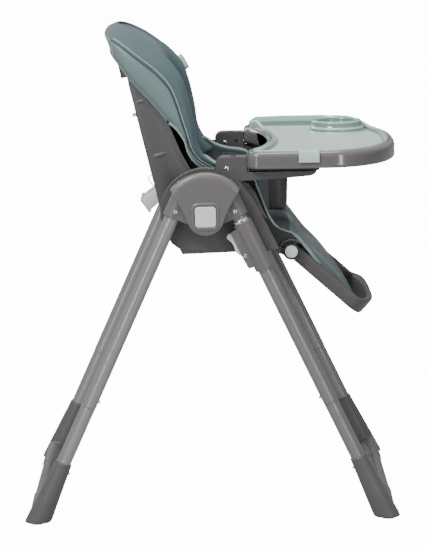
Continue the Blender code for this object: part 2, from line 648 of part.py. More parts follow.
def back_pad():
    """Padded cover whose top is a hood over the shell, as one plain soft solid."""
    inside = WING_Y[0] - 0.0005
    outside = 0.199
    clear = BACK_REAR + BACK_WALL + GAP
    # height, half width, rear face, wing front, wing width, back thickness
    levels = [(0.034, 0.150, clear, -0.012, 0.030, 0.026),
              (0.075, 0.170, clear, 0.018, 0.026, 0.028),
              (0.105, inside, clear, 0.040, 0.030, 0.030),
              (0.150, inside, clear, 0.061, 0.032, 0.030),
              (0.230, inside, clear, 0.066, 0.034, 0.030),
              (0.300, inside, clear, 0.067, 0.036, 0.030),
              (0.345, inside, clear, 0.054, 0.040, 0.030),
              (SHELL_TOP - 0.001, inside, clear, 0.030, 0.050, 0.030)]
    rings = [u_ring(BACK, t, half, rear, front, wall, floor, 0.012)
             for t, half, rear, front, wall, floor in levels]
    body = loft(rings)
    cap_outline = [BACK.at(SHELL_TOP + GAP * 2, -0.064), BACK.at(0.420, -0.0705),
                   BACK.at(0.4325, -0.060), BACK.at(0.434, -0.045), BACK.at(0.429, -0.026),
                   BACK.at(0.419, -0.004), BACK.at(0.404, 0.015), BACK.at(0.380, 0.032),
                   BACK.at(0.370, 0.034), BACK.at(0.370, -0.010),
                   BACK.at(SHELL_TOP + GAP * 2, -0.040)]
    cap = prism(cap_outline, -0.150, 0.150)
    whole = joined(body, cap)
    # the pockets that hang over the outside of the shell's wings
    pocket = [BACK.at(SHELL_TOP + GAP * 2, -0.060), BACK.at(0.323, -0.0325),
              BACK.at(0.270, -0.0150), BACK.at(0.216, 0.0135), BACK.at(0.168, 0.040),
              BACK.at(0.155, 0.060), BACK.at(0.230, 0.062), BACK.at(0.300, 0.060),
              BACK.at(0.345, 0.045), BACK.at(0.400, 0.005), BACK.at(0.415, -0.020),
              BACK.at(0.420, -0.045)]
    for sign in SIDES.values():
        whole = joined(whole, at_side(prism(pocket, WING_Y[1] - 0.030, outside), sign))
        slot = [BACK.at(SHELL_TOP + GAP * 2, -0.075), BACK.at(0.100, -0.075),
                BACK.at(0.100, 0.040), BACK.at(0.143, 0.0243), BACK.at(0.2192, 0.0106),
                BACK.at(0.2703, -0.0174), BACK.at(0.320, -0.0334),
                BACK.at(SHELL_TOP + GAP * 2, -0.0354)]
        whole = cut(whole, at_side(prism(slot, WING_Y[0] - GAP, WING_Y[1] + GAP), sign))
    top, low = SHELL_TOP + 2 * GAP, 0.100
    skin = [BACK.at(top, BACK_REAR - 0.04), BACK.at(low, BACK_REAR - 0.04),
            BACK.at(low, clear), BACK.at(top, clear)]
    return cut(whole, prism(skin, -WING_Y[1] - GAP, WING_Y[1] + GAP))


def recline_handle():
    grip = [BACK.at(0.0500, BACK_REAR - 0.0040), BACK.at(0.0630, BACK_REAR - 0.0050),
            BACK.at(0.0480, -0.0870), BACK.at(0.0500, -0.0935), BACK.at(0.0460, -0.0960),
            BACK.at(0.0150, -0.0830), BACK.at(0.0150, -0.0790), BACK.at(0.0215, -0.0765),
            BACK.at(0.0330, BACK_REAR - 0.0045)]
    return prism(grip, -0.050, 0.050)


# ---------------------------------------------------------------- leg rest
def leg_rest_outline(inset=0.0, start=0.0):
    """Plan of the leg rest as (along, y): straight sides and a curved end."""
    half = LEG_REST_HALF - inset
    end = LEG_REST_LENGTH - inset
    turn = LEG_REST_LENGTH - 0.055
    points = [(start, -half)]
    steps = 10
    for i in range(steps + 1):
        angle = -pi / 2 + pi * i / steps
        across = abs(sin(angle)) ** 0.75 * (1 if angle > 0 else -1)
        forward = abs(cos(angle)) ** 0.75
        points.append((turn + (end - turn) * forward, half * across))
    points.append((start, half))
    return points


def leg_rest_block(outline, low, high):
    return loft([[tuple(space(LEG_REST, t, y, u)) for t, y in outline]
                 for u in (low, high)])


def leg_rest_shell():
    down = space(LEG_REST, 1, 0) - space(LEG_REST, 0, 0)
    up = space(LEG_REST, 0, 0, 1) - space(LEG_REST, 0, 0)
    whole = leg_rest_block(leg_rest_outline(start=0.016), LEG_REST_LOW, LEG_REST_HIGH)
    hollow = leg_rest_block(leg_rest_outline(LEG_REST_RAIL, -0.05),
                            LEG_REST_LOW + LEG_REST_FLOOR, LEG_REST_HIGH + 0.02)
    whole = cut(whole, hollow)
    start, run = LEG_REST_LIP_RUN
    for vert in whole.verts:
        from_hinge = vert.co - space(LEG_REST, 0, vert.co.y)
        t, u = from_hinge.dot(down), from_hinge.dot(up)
        if u > LEG_REST_HIGH - GAP:
            vert.co += up * LEG_REST_LIP * eased((t - start) / run)
    for sign in SIDES.values():
        ear = joined(rod(0.0150, space(LEG_REST, 0, sign * (LEG_REST_HALF - LEG_REST_RAIL)),
                         space(LEG_REST, 0, sign * LEG_REST_HALF), 24),
                     at_side(prism([LEG_REST.at(0, LEG_REST_LOW + 0.002),
                                    LEG_REST.at(0.022, LEG_REST_LOW + 0.002),
                                    LEG_REST.at(0.022, 0.0145), LEG_REST.at(0, 0.0145)],
                                   LEG_REST_HALF - LEG_REST_RAIL, LEG_REST_HALF), sign))
        whole = joined(whole, ear)
        whole = cut(whole, rod(PIN_R + GAP, space(LEG_REST, 0, sign * 0.15),
                               space(LEG_REST, 0, sign * 0.19), 16))
    return whole


def leg_rest_pad():
    inset = LEG_REST_RAIL + 0.001
    half = LEG_REST_HALF - inset
    end = LEG_REST_LENGTH - 0.045
    outline = [(0.030, -half), (end - 0.03, -half), (end, -half + 0.05),
               (end, half - 0.05), (end - 0.03, half), (0.030, half)]
    return leg_rest_block(outline, LEG_REST_LOW + LEG_REST_FLOOR + GAP, 0.026)


def leg_rest_hinge():
    """Left-hand hinge: a ring outside the seat base wall that houses the button."""
    low = WALL_Y[1] + GAP
    start = (HUB_X + HINGE[0], 0, HINGE[1])
    ring = [(HINGE_R, low), (HINGE_R, low + 0.0115), (HINGE_BUTTON_R + 0.0008, low + 0.0115),
            (HINGE_BUTTON_R + 0.0008, low + 0.0025), (PIN_R + GAP, low + 0.0025), (PIN_R + GAP, low)]
    return turned(ring, start, (0, 1, 0), 28)


# ---------------------------------------------------------------- tray
def tray_outline(inset=0.0, steps=24):
    """Plan of the tray as world (X, Y): curved front, straight sides, belly cut."""
    half = TRAY_HALF - inset
    front = TRAY_FRONT - TRAY_CURVE_X - inset
    power = 2 / TRAY_SQUARE
    points = []
    for i in range(steps + 1):
        angle = -pi / 2 + pi * i / steps
        across = abs(sin(angle)) ** power * (1 if angle > 0 else -1)
        points.append((TRAY_CURVE_X + front * abs(cos(angle)) ** power, half * across))
    rear = TRAY_REAR + inset
    corner = max(TRAY_CORNER - 0.8 * inset, 0.006)
    left = arc((rear + corner, half - corner), corner, pi / 2, pi, 4)
    lobe = TRAY_HALF - TRAY_LOBE + inset
    belly = TRAY_BELLY + inset
    inner = [(rear, lobe), (rear + 0.004, lobe - 0.010)]
    sweep = []
    count = 10
    reach = lobe - 0.024
    for i in range(count + 1):
        y = reach * (1 - 2 * i / count)
        share = 1 - (abs(y) / reach) ** 2.2
        sweep.append((rear + 0.012 + (belly - rear - 0.012) * share, y))
    right = [(x, -y) for x, y in (left + inner)[::-1]]
    return [(HUB_X + x, y) for x, y in points + left + inner + sweep + right]


def tray_base():
    whole = slab(tray_outline(), *TRAY_Z)
    softened(whole, 0.006, lambda e: all(abs(v.co.z - TRAY_Z[1]) < 1e-6 for v in e.verts))
    recess = slab(tray_outline(TRAY_RIM), TRAY_SKIN[1], TRAY_Z[1] + 0.02)
    under = slab(tray_outline(0.004), TRAY_Z[0] - 0.02, TRAY_SKIN[0])
    return cut(whole, recess, under)


def tray_insert():
    """Lift-out dish: a floor, a rim that rises to the cup holder, and two clips."""
    inset = TRAY_RIM + 0.0008
    whole = slab(tray_outline(inset), TRAY_SKIN[1] + GAP, INSERT_RIM)
    dish = slab(tray_outline(inset + 0.009), INSERT_FLOOR, INSERT_RIM + 0.02)
    whole = cut(whole, dish)
    under = slab(tray_outline(inset + 0.004), TRAY_SKIN[1] - 0.02, INSERT_FLOOR - 0.003)
    whole = cut(whole, under)
    for vert in whole.verts:
        if vert.co.z > INSERT_RIM - 1e-6:
            share = eased((vert.co.y - 0.140) / 0.080) * eased((vert.co.x - HUB_X - 0.105) / 0.080)
            share *= eased((HUB_X + TRAY_FRONT - 0.012 - vert.co.x) / 0.050)
            vert.co.z += (INSERT_HIGH - INSERT_RIM) * share
    x, y, outer, inner = CUP
    ring = rod(outer, (HUB_X + x, y, INSERT_FLOOR - 0.002), (HUB_X + x, y, INSERT_HIGH), 32)
    whole = joined(whole, ring)
    whole = cut(whole, rod(inner, (HUB_X + x, y, INSERT_FLOOR),
                           (HUB_X + x, y, INSERT_HIGH + 0.02), 32))
    for sign in SIDES.values():
        top = INSERT_RIM - 0.0004
        hook = [(sign * (TRAY_HALF - TRAY_RIM - 0.004), INSERT_RIM - 0.0045),
                (sign * (TRAY_HALF - TRAY_RIM - 0.004), top),
                (sign * (TRAY_HALF + 0.0035), top),
                (sign * (TRAY_HALF + 0.0042), INSERT_RIM - 0.024),
                (sign * (TRAY_HALF + GAP * 2), INSERT_RIM - 0.024),
                (sign * (TRAY_HALF + GAP * 2), TRAY_Z[1] + GAP),
                (sign * (TRAY_HALF - TRAY_RIM - 0.002), TRAY_Z[1] + GAP)]
        clip = loft([[(HUB_X + x_at, p[0], p[1]) for p in hook]
                     for x_at in (0.197, 0.240)])
        whole = joined(whole, clip)
    return whole


def tray_runner():
    """Left-hand channel under the tray, which slides along the armrest's rail."""
    high = TRAY_SKIN[0] - GAP
    low = RAIL_TOP + GAP
    rear, front = TRAY_REAR + 0.006, RAIL_END + 0.006
    return loft([[(HUB_X + rear, y, z), (HUB_X + front, y, z), (HUB_X + front, y2, z),
                  (HUB_X + rear, y2, z)]
                 for z, y, y2 in ((low, 0.212, 0.242), (high, 0.212, 0.242))])


def crotch_post():
    """Post that hangs under the tray between the child's legs."""
    top = TRAY_SKIN[0] - GAP
    rings = []
    for z, half_x, half_y in ((POST[1], 0.008, 0.014), (POST[1] + 0.003, 0.0130, 0.0200),
                              (POST[1] + 0.010, 0.0158, 0.0235), (0.700, 0.0205, 0.0300),
                              (top, 0.0205, 0.0320)):
        rings.append([(HUB_X + POST[0] + half_x * cos(2 * pi * i / 20),
                       half_y * sin(2 * pi * i / 20), z) for i in range(20)])
    return loft(rings)


def release_lever():
    """Lever under the tray's front edge that frees it from the rails."""
    high = TRAY_SKIN[0] - 0.004
    outline = [(0.345, -0.055), (0.385, -0.055), (0.402, -0.030), (0.405, 0.0),
               (0.402, 0.030), (0.385, 0.055), (0.345, 0.055)]
    return slab([(HUB_X + x, y) for x, y in outline], high - 0.010, high)


# ---------------------------------------------------------------- assembly
def anchor(name, pivot=(0, 0, 0)):
    made = bpy.data.objects.new(name, None)
    made.location = pivot
    bpy.context.scene.collection.objects.link(made)
    return made


def build():
    for old in list(bpy.data.objects):
        bpy.data.objects.remove(old)
    hinge = Vector((HUB_X + HINGE[0], 0, HINGE[1]))
    recline = space(BACK, 0, 0)
    front, rear = anchor("front_frame"), anchor("rear_frame", (HUB_X, 0, HUB_Z))
    seat, back = anchor("seat"), anchor("backrest", recline)
    rest, tray = anchor("leg_rest", hinge), anchor("tray")

    leg_tubes("front", FRONT, front)
    leg_tubes("rear", REAR, rear)
    feet("front", FRONT, front)
    feet("rear", REAR, rear)
    hub_parts(front, rear)

    for side, sign in SIDES.items():
        named(f"height_slider_{side}", at_side(slider(), sign), "frame_plastic",
              parent=seat)
        pivot = space(FRONT, TRIGGER_PIVOT[1], sign * TUBE_Y, TRIGGER_PIVOT[0])
        named(f"height_trigger_{side}", at_side(trigger(), sign), "button_plastic",
              pivot=pivot, parent=seat)
        named(f"side_plate_{side}", at_side(side_plate(), sign), "shell_plastic",
              parent=seat)
        named(f"armrest_{side}", at_side(armrest(), sign), "frame_plastic", parent=seat)
        named(f"leg_rest_hinge_{side}", at_side(leg_rest_hinge(), sign), "dark_plastic",
              parent=seat)
        inner = WALL_Y[1] + 0.0025 + GAP * 2 + 0.0042
        knob = rod(HINGE_BUTTON_R, hinge + Vector((0, sign * inner, 0)),
                   hinge + Vector((0, sign * (WALL_Y[1] + 0.0138), 0)), 28)
        named(f"leg_rest_button_{side}", knob, "button_plastic",
              pivot=hinge + Vector((0, sign * inner, 0)), parent=seat)
        named(f"tray_runner_{side}", at_side(tray_runner(), sign), "dark_plastic",
              parent=tray)

    named("seat_base", seat_base(), "shell_plastic", parent=seat)
    named("seat_pad", seat_pad(), "fabric", parent=seat)
    named("back_shell", back_shell(), "shell_plastic", pivot=recline, parent=back)
    named("back_pad", back_pad(), "fabric", pivot=recline, parent=back)
    named("recline_handle", recline_handle(), "button_plastic",
          pivot=space(BACK, 0.048, 0, BACK_REAR - 0.0045), parent=back)
    for side, sign in SIDES.items():
        pin = rod(PIN_R, space(BACK, 0, sign * (WALL_Y[1] + GAP)),
                  space(BACK, 0, sign * (WING_Y[1] + 0.006)), 16)
        named(f"recline_pin_{side}", pin, "steel", parent=seat)
        pin = rod(PIN_R, hinge + Vector((0, sign * (LEG_REST_HALF - LEG_REST_RAIL), 0)),
                  hinge + Vector((0, sign * (WALL_Y[1] + 0.0018), 0)), 16)
        named(f"leg_rest_pin_{side}", pin, "steel", parent=seat)
    named("leg_rest_shell", leg_rest_shell(), "shell_plastic", pivot=hinge, parent=rest)
    named("leg_rest_pad", leg_rest_pad(), "fabric", pivot=hinge, parent=rest)

    named("tray_base", tray_base(), "tray_plastic", parent=tray)
    named("tray_insert", tray_insert(), "insert_plastic", parent=tray)
    named("crotch_post", crotch_post(), "dark_plastic", parent=tray)
    named("tray_release_lever", release_lever(), "frame_plastic", parent=tray)


build()
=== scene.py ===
"""Looks for a folding baby high chair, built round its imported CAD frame.

Metres, +Z up, +X the way the child faces, Y = 0 the chair's middle plane. Side-view shapes
are drawn in datums that start on the chair's own pivots, read from the frame's joints.
"""
import json
from math import atan2, cos, pi, radians, sin

import bmesh
import bpy
from mathutils import Matrix, Vector


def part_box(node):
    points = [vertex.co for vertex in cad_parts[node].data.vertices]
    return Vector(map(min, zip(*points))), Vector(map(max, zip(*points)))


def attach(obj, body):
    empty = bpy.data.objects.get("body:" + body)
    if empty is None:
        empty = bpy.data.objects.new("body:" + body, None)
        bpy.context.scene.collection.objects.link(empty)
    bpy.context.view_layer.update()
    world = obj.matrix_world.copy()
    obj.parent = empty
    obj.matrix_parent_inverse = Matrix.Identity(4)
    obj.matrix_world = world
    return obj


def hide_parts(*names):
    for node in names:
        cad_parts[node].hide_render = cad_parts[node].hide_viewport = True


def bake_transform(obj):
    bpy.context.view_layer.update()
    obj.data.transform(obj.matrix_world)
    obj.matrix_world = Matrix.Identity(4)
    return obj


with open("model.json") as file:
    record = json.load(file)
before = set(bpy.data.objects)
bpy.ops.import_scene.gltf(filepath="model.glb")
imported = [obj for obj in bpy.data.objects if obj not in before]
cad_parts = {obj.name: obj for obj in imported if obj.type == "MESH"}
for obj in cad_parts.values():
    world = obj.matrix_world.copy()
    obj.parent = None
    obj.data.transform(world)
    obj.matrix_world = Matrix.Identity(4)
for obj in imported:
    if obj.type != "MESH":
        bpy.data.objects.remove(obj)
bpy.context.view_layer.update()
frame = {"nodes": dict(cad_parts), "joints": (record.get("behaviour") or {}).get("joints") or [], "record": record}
JOINTS = {joint["name"]: joint for joint in frame["joints"]}
SIDES = {"right": -1, "left": 1}


# ---------------------------------------------------------------- datums
class Datum:
    """A side-view frame: T runs along a direction, U across it, Y is the chair's own."""

    def __init__(self, origin, along, across):
        self.origin = Vector(origin)
        self.along, self.across = Vector(along), Vector(across)

    def at(self, t, u, y=0.0):
        x, z = self.origin + self.along * t + self.across * u
        return Vector((x, y, z))


def pivot(name):
    x, _, z = JOINTS[name]["pos_m"]
    return Vector((x, z))


def leaning(origin, angle, sign=1):
    return Datum(origin, (sign * sin(angle), -cos(angle)), (sign * cos(angle), sin(angle)))


HUB = pivot("frame_fold")
FRONT_LEAN, REAR_LEAN, BACK_LEAN = radians(25.2), radians(24.7), radians(13)
REST_DROP = radians(JOINTS["leg_rest_angle"]["range_deg"][1])
FRONT = leaning(HUB, FRONT_LEAN)
REAR = leaning(HUB, REAR_LEAN, -1)
BACK = Datum(pivot("back_recline"), (-sin(BACK_LEAN), cos(BACK_LEAN)),
             (cos(BACK_LEAN), sin(BACK_LEAN)))
REST = Datum(pivot("leg_rest_angle"), (cos(REST_DROP), -sin(REST_DROP)),
             (sin(REST_DROP), cos(REST_DROP)))
CHAIR = Datum((HUB.x, 0), (1, 0), (0, 1))      # T is X from the hub, U is height

TUBE_Y = 0.2715
LEG_OFFSET = 0.062
TUBE_R, LOWER_R, GRIP_R = 0.016, 0.0155, 0.0205
LEG_TOP, SEAM_T, BOOT_T, LEG_END = -0.0402, 0.478, 0.611, 0.6707
LEGS = {"front": FRONT, "rear": REAR}
COVER_IN, COVER_OUT = 0.2923, 0.3048
FAN_R = 0.0925
PLATE_Y = (0.230, 0.247)
ARM_Y = (0.207, 0.247)
WALL_Y = (0.178, 0.184)
SHELL_REAR = -0.049
BOOT_WELD, SOCKET_WELD = (0.0016, 5), (0.0011, 3)      # voxel and relaxing passes


# ---------------------------------------------------------------- shader maths
class Wire:
    """A shader socket that adds its Math nodes when it is used in arithmetic."""

    def __init__(self, look, socket):
        self.look, self.socket = look, socket

    def maths(self, operation, other, swap=False):
        values = (other, self) if swap else (self, other)
        return self.look.node("ShaderNodeMath", {"operation": operation},
                              dict(enumerate(values)))

    def __add__(self, other):
        return self.maths("ADD", other)

    def __radd__(self, other):
        return self.maths("ADD", other, swap=True)

    def __sub__(self, other):
        return self.maths("SUBTRACT", other)

    def __rsub__(self, other):
        return self.maths("SUBTRACT", other, swap=True)

    def __mul__(self, other):
        return self.maths("MULTIPLY", other)

    def __rmul__(self, other):
        return self.maths("MULTIPLY", other, swap=True)

    def clipped(self):
        return self.look.node("ShaderNodeClamp", {}, {"Value": self})


class Look:
    """One procedural material, or another owner of shader nodes."""

    def __init__(self, name, owner=None, shader="Principled BSDF"):
        self.made = owner or bpy.data.materials.new(name)
        self.made.use_nodes = True
        self.tree = self.made.node_tree
        self.shader = self.tree.nodes[shader]

    def node(self, kind, settings, inputs, output=0):
        made = self.tree.nodes.new(kind)
        for name, value in settings.items():
            setattr(made, name, value)
        for name, value in inputs.items():
            self.plug(made.inputs[name], value)
        return Wire(self, made.outputs[output])

    def plug(self, socket, value):
        if isinstance(value, Wire):
            self.tree.links.new(value.socket, socket)
        elif hasattr(value, "__len__") and len(value) == 3 and socket.type == "RGBA":
            socket.default_value = (*value, 1)
        else:
            socket.default_value = value

    def place(self):
        """Object coordinates."""
        return self.node("ShaderNodeTexCoord", {}, {}, "Object")

    def drawn_along(self, lean, length):
        """Object coordinates drawn out along a direction that leans in the side view."""
        return self.node("ShaderNodeMapping", {"vector_type": "TEXTURE"},
                         {"Vector": self.place(), "Scale": (1, 1, length),
                          "Rotation": (0, lean, 0)})

    def noise(self, size, detail=3.0, where=None, rough=0.5):
        return self.node("ShaderNodeTexNoise", {},
                         {"Vector": where or self.place(), "Scale": 1 / size,
                          "Detail": detail, "Roughness": rough})

    def cells(self, size):
        return self.node("ShaderNodeTexVoronoi", {"feature": "DISTANCE_TO_EDGE"},
                         {"Vector": self.place(), "Scale": 1 / size})

    def mixed(self, share, first, second):
        return self.node("ShaderNodeMix", {"data_type": "RGBA"},
                         {0: share, 6: first, 7: second}, 2)

    def bumped(self, height, depth, under=None):
        inputs = {"Height": height, "Distance": depth, "Strength": 1.0}
        if under:
            inputs["Normal"] = under
        return self.node("ShaderNodeBump", {}, inputs)

    def finish(self, **sockets):
        for name, value in sockets.items():
            self.plug(self.shader.inputs[name.replace("_", " ")], value)
        return self.made


def shades(colour, spread):
    return [tuple(c * (1 + spread * k) for c in colour) for k in (-1, 1)]


def moulded(name, colour, rough, grain=0.0011, depth=0.00006, coat=0.0, spread=0.05):
    """Moulded plastic with a fine spark-eroded grain and faint flow marks."""
    look = Look(name)
    low, high = shades(colour, spread)
    flow = look.noise(0.09, 2.0)
    grit = look.noise(grain, 2.0, rough=0.6)
    tint = look.mixed(flow, low, high)
    worn = look.noise(0.018, 4.0)
    return look.finish(Base_Color=tint, Roughness=(rough - 0.04) + worn * 0.08,
                       Normal=look.bumped(grit, depth), Coat_Weight=coat,
                       Coat_Roughness=0.12)


def painted_tube(name, colour, rough, lean):
    """Satin metallic paint on drawn tube, with draw lines that run along the leg."""
    look = Look(name)
    low, high = shades(colour, 0.05)
    lines = look.noise(0.0030, 1.0, look.drawn_along(lean, 120))
    cloudy = look.noise(0.08, 1.0)
    return look.finish(Base_Color=look.mixed(lines * 0.6 + cloudy * 0.4, low, high),
                       Metallic=0.55, Roughness=rough + cloudy * 0.04,
                       Normal=look.bumped(lines, 0.000001), Coat_Weight=0.4,
                       Coat_Roughness=0.16)


def grained_cloth(name, colour, sheen, rough=0.62, grain=0.0013, fold=0.5):
    """Coated upholstery cloth: a pebbled leather-like grain over soft, broad creases."""
    look = Look(name)
    low, high = shades(colour, 0.06)
    pebble = look.cells(grain)
    fine = look.noise(grain * 0.5, 2.0)
    wave = look.noise(0.045, 3.0)
    tint = look.mixed((pebble * 2.2).clipped() * 0.6 + wave * 0.4, low, high)
    raised = (pebble * 3.0).clipped()
    broad = look.bumped(wave, 0.0016 * fold)
    return look.finish(Base_Color=tint, Roughness=rough + fine * 0.10,
                       Normal=look.bumped(raised * 0.7 + fine * 0.3, 0.00010, under=broad),
                       Sheen_Weight=sheen, Sheen_Roughness=0.4, Specular_IOR_Level=0.35)


def woven_cloth(name, colour):
    """Plain-woven lining and tape, with threads both ways."""
    look = Look(name)
    low, high = shades(colour, 0.25)
    warp, weft = [look.node("ShaderNodeTexWave",
                            {"wave_type": "BANDS", "bands_direction": direction},
                            {"Vector": look.place(), "Scale": 260.0, "Distortion": 0.4})
                  for direction in "XZ"]
    weave = warp * weft
    return look.finish(Base_Color=look.mixed(weave, low, high), Roughness=0.9,
                       Normal=look.bumped(weave, 0.0001), Sheen_Weight=0.2)


def plated(name, colour, rough):
    """Bright plating with faint rubbing marks."""
    look = Look(name)
    marks = look.noise(0.0012, 2.0)
    return look.finish(Base_Color=colour, Metallic=1.0, Roughness=rough + marks * 0.12)


def dish_floor(name, colour):
    """The insert's floor: the same plastic with a fine matt texture."""
    look = Look(name)
    low, high = shades(colour, 0.04)
    grit = look.noise(0.0014, 3.0, rough=0.7)
    return look.finish(Base_Color=look.mixed(grit, low, high), Roughness=0.34 + grit * 0.2,
                       Normal=look.bumped(grit, 0.00016), Coat_Weight=0.15,
                       Coat_Roughness=0.3)


SMOOTH = (0.03, 0.00001)        # grain size and depth of a polished moulding
# Each finish as (how it is made, the slot that it fills, colour, and the maker's numbers).
# The first finish of a slot is the one for a CAD node that keeps its own shape.
FINISHES = {
    "frame_plastic": (moulded, "frame_plastic", (0.114, 0.110, 0.108), 0.34),
    "arm_plastic": (moulded, "frame_plastic", (0.073, 0.071, 0.071), 0.38),
    "boot_plastic": (moulded, "frame_plastic", (0.080, 0.077, 0.077), 0.40),
    "shell_plastic": (moulded, "shell_plastic", (0.069, 0.067, 0.066), 0.42),
    "base_plastic": (moulded, "shell_plastic", (0.112, 0.108, 0.104), 0.42),
    "dark_plastic": (moulded, "dark_plastic", (0.022, 0.022, 0.023), 0.50),
    "post_plastic": (moulded, "dark_plastic", (0.046, 0.044, 0.044), 0.42),
    # Painted shade: near-black for the shade inside holes, a slot, screw heads and the gap round the fold button.
    "recess": (moulded, "dark_plastic", (0.012, 0.012, 0.012), 0.7),
    "button_plastic": (moulded, "button_plastic", (0.62, 0.645, 0.69), 0.34, 0.0011,
                       0.00003),
    "rubber": (moulded, "rubber", (0.020, 0.020, 0.021), 0.80, 0.0011, 0.0001),
    "front_paint": (painted_tube, "tube_paint", (0.200, 0.202, 0.210), 0.30, -FRONT_LEAN),
    "rear_paint": (painted_tube, "tube_paint", (0.280, 0.282, 0.292), 0.28, REAR_LEAN),
    "bar_paint": (moulded, "tube_paint", (0.070, 0.068, 0.068), 0.34, *SMOOTH, 0.3),
    "zinc": (plated, "steel", (0.72, 0.72, 0.73), 0.18),
    "tray_gloss": (moulded, "tray_plastic", (0.114, 0.110, 0.109), 0.15, *SMOOTH, 0.5),
    "insert_gloss": (moulded, "insert_plastic", (0.315, 0.465, 0.400), 0.16, *SMOOTH, 0.5,
                     0.02),
    # Painted shade: a darker green for the dish's inner walls and the cup ring's sides, where shade falls.
    "insert_wall": (moulded, "insert_plastic", (0.140, 0.225, 0.198), 0.16, *SMOOTH, 0.5,
                    0.02),
    "insert_clip": (moulded, "insert_plastic", (0.46, 0.60, 0.54), 0.20, 0.02, 0.00003,
                    0.4, 0.02),
    "insert_floor": (dish_floor, "insert_plastic", (0.455, 0.505, 0.510)),
    "seat_cloth": (grained_cloth, "fabric", (0.100, 0.150, 0.158), 0.2),
    "hood_cloth": (grained_cloth, "fabric", (0.061, 0.098, 0.108), 0.07, 0.66),
    "pocket_cloth": (grained_cloth, "fabric", (0.128, 0.188, 0.190), 0.30, 0.42),
    "wing_cloth": (grained_cloth, "fabric", (0.070, 0.100, 0.108), 0.1),
    "slate_cloth": (grained_cloth, "fabric", (0.062, 0.068, 0.075), 0.1),
    "piping": (grained_cloth, "fabric", (0.270, 0.370, 0.355), 0.3, 0.62, 0.0008, 0.0),
    "lining": (woven_cloth, "fabric", (0.010, 0.010, 0.011)),
    "thread": (woven_cloth, "fabric", (0.030, 0.040, 0.044)),
    "tag_cloth": (woven_cloth, "fabric", (0.70, 0.72, 0.74)),
}
LOOKS = {name: make(name, *rest) for name, (make, _, *rest) in FINISHES.items()}
SLOTS = {name: slot for name, (_, slot, *_) in FINISHES.items()}


# ---------------------------------------------------------------- making pieces
def piece(name, mesh, looks, body, stands_for=(), sign=1, crease=35):
    """Turn a finished mesh into a named piece that rides on a CAD body."""
    looks = [looks] if isinstance(looks, str) else looks
    if sign < 0:
        bmesh.ops.scale(mesh, verts=mesh.verts, vec=(1, -1, 1))
    bmesh.ops.recalc_face_normals(mesh, faces=mesh.faces)
    data = bpy.data.meshes.new(name)
    mesh.to_mesh(data)
    mesh.free()
    for look in looks:
        data.materials.append(LOOKS[look])
    data.shade_smooth()
    if crease:
        data.set_sharp_from_angle(angle=radians(crease))
    made = bpy.data.objects.new(name, data)
    bpy.context.scene.collection.objects.link(made)
    if body:
        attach(made, body)
    if stands_for:
        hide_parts(*stands_for)
    return made


def edged(made, width, segments=3, angle=30):
    """Round every edge sharper than an angle."""
    step = made.modifiers.new("edge", "BEVEL")
    step.width, step.segments, step.limit_method = width, segments, "ANGLE"
    step.angle_limit, step.harden_normals = radians(angle), True
    step.miter_outer = "MITER_ARC"
    return made


def fused(made, voxel, passes):
    """Weld overlapping lumps into one moulding and relax the joins into fillets."""
    weld = made.modifiers.new("weld", "REMESH")
    weld.mode, weld.voxel_size, weld.use_smooth_shade = "VOXEL", voxel, True
    relax = made.modifiers.new("relax", "SMOOTH")
    relax.factor, relax.iterations = 0.5, passes


def thick(made, depth, inside=None):
    """Give a sheet its thickness away from its outer face."""
    step = made.modifiers.new("thick", "SOLIDIFY")
    step.thickness, step.offset = depth, -1
    if inside is not None:
        step.material_offset = step.material_offset_rim = inside


def ring(mesh, points):
    verts = [mesh.verts.new(p) for p in points]
    return [mesh.edges.new((verts[i - 1], verts[i])) for i in range(len(verts))]


def skinned(rings, into=None):
    """Pull a closed ring through a row of rings and close both ends."""
    mesh = into or bmesh.new()
    edges = ring(mesh, rings[0])
    bmesh.ops.contextual_create(mesh, geom=edges)
    order = {edge.verts[1]: index for index, edge in enumerate(edges)}
    for points in rings[1:]:
        grown = bmesh.ops.extrude_edge_only(mesh, edges=edges)
        fresh = [g for g in grown["geom"] if isinstance(g, bmesh.types.BMVert)]
        placed = {}
        for vert in fresh:
            source = next(edge.other_vert(vert) for edge in vert.link_edges
                          if edge.other_vert(vert) in order)
            placed[vert] = order[source]
            vert.co = points[order[source]]
        order = placed
        edges = list({edge for vert in fresh for edge in vert.link_edges
                      if edge.other_vert(vert) in placed})
    bmesh.ops.contextual_create(mesh, geom=edges)
    return mesh


def extruded(points, step, into=None):
    """Fill an outline and pull it along a vector."""
    mesh = into or bmesh.new()
    face = mesh.faces.new([mesh.verts.new(p) for p in points])
    grown = bmesh.ops.extrude_face_region(mesh, geom=[face])
    tips = [v for v in grown["geom"] if isinstance(v, bmesh.types.BMVert)]
    bmesh.ops.translate(mesh, verts=tips, vec=step)
    return mesh


def plate(datum, outline, y0, y1, into=None):
    """A flat plate cut to a side-view outline."""
    return extruded([datum.at(t, u, y0) for t, u in outline], (0, y1 - y0, 0), into)


def slab(name, datum, outline, ys, look, stands_for=(), sign=1, edge=None, segments=3,
         angle=30, body="seat"):
    """A piece that is one plate, with its edges rounded if a width is given."""
    made = piece(name, plate(datum, outline, *ys), look, body, stands_for, sign,
                 0 if edge else 35)
    if edge:
        edged(made, edge, segments, angle)


def turned(profile, start, axis, steps=48, into=None, closed=True):
    """Spin (radius, distance) points about an axis."""
    mesh = into or bmesh.new()
    axis = Vector(axis).normalized()
    side = axis.orthogonal().normalized()
    verts = [mesh.verts.new(Vector(start) + axis * d + side * r) for r, d in profile]
    pairs = list(zip(verts, verts[1:])) + ([(verts[-1], verts[0])] if closed else [])
    edges = [mesh.edges.new(pair) for pair in pairs]
    bmesh.ops.spin(mesh, geom=verts + edges, cent=start, axis=axis, angle=2 * pi,
                   steps=steps, use_merge=True)
    bmesh.ops.remove_doubles(mesh, verts=mesh.verts, dist=1e-6)
    return mesh


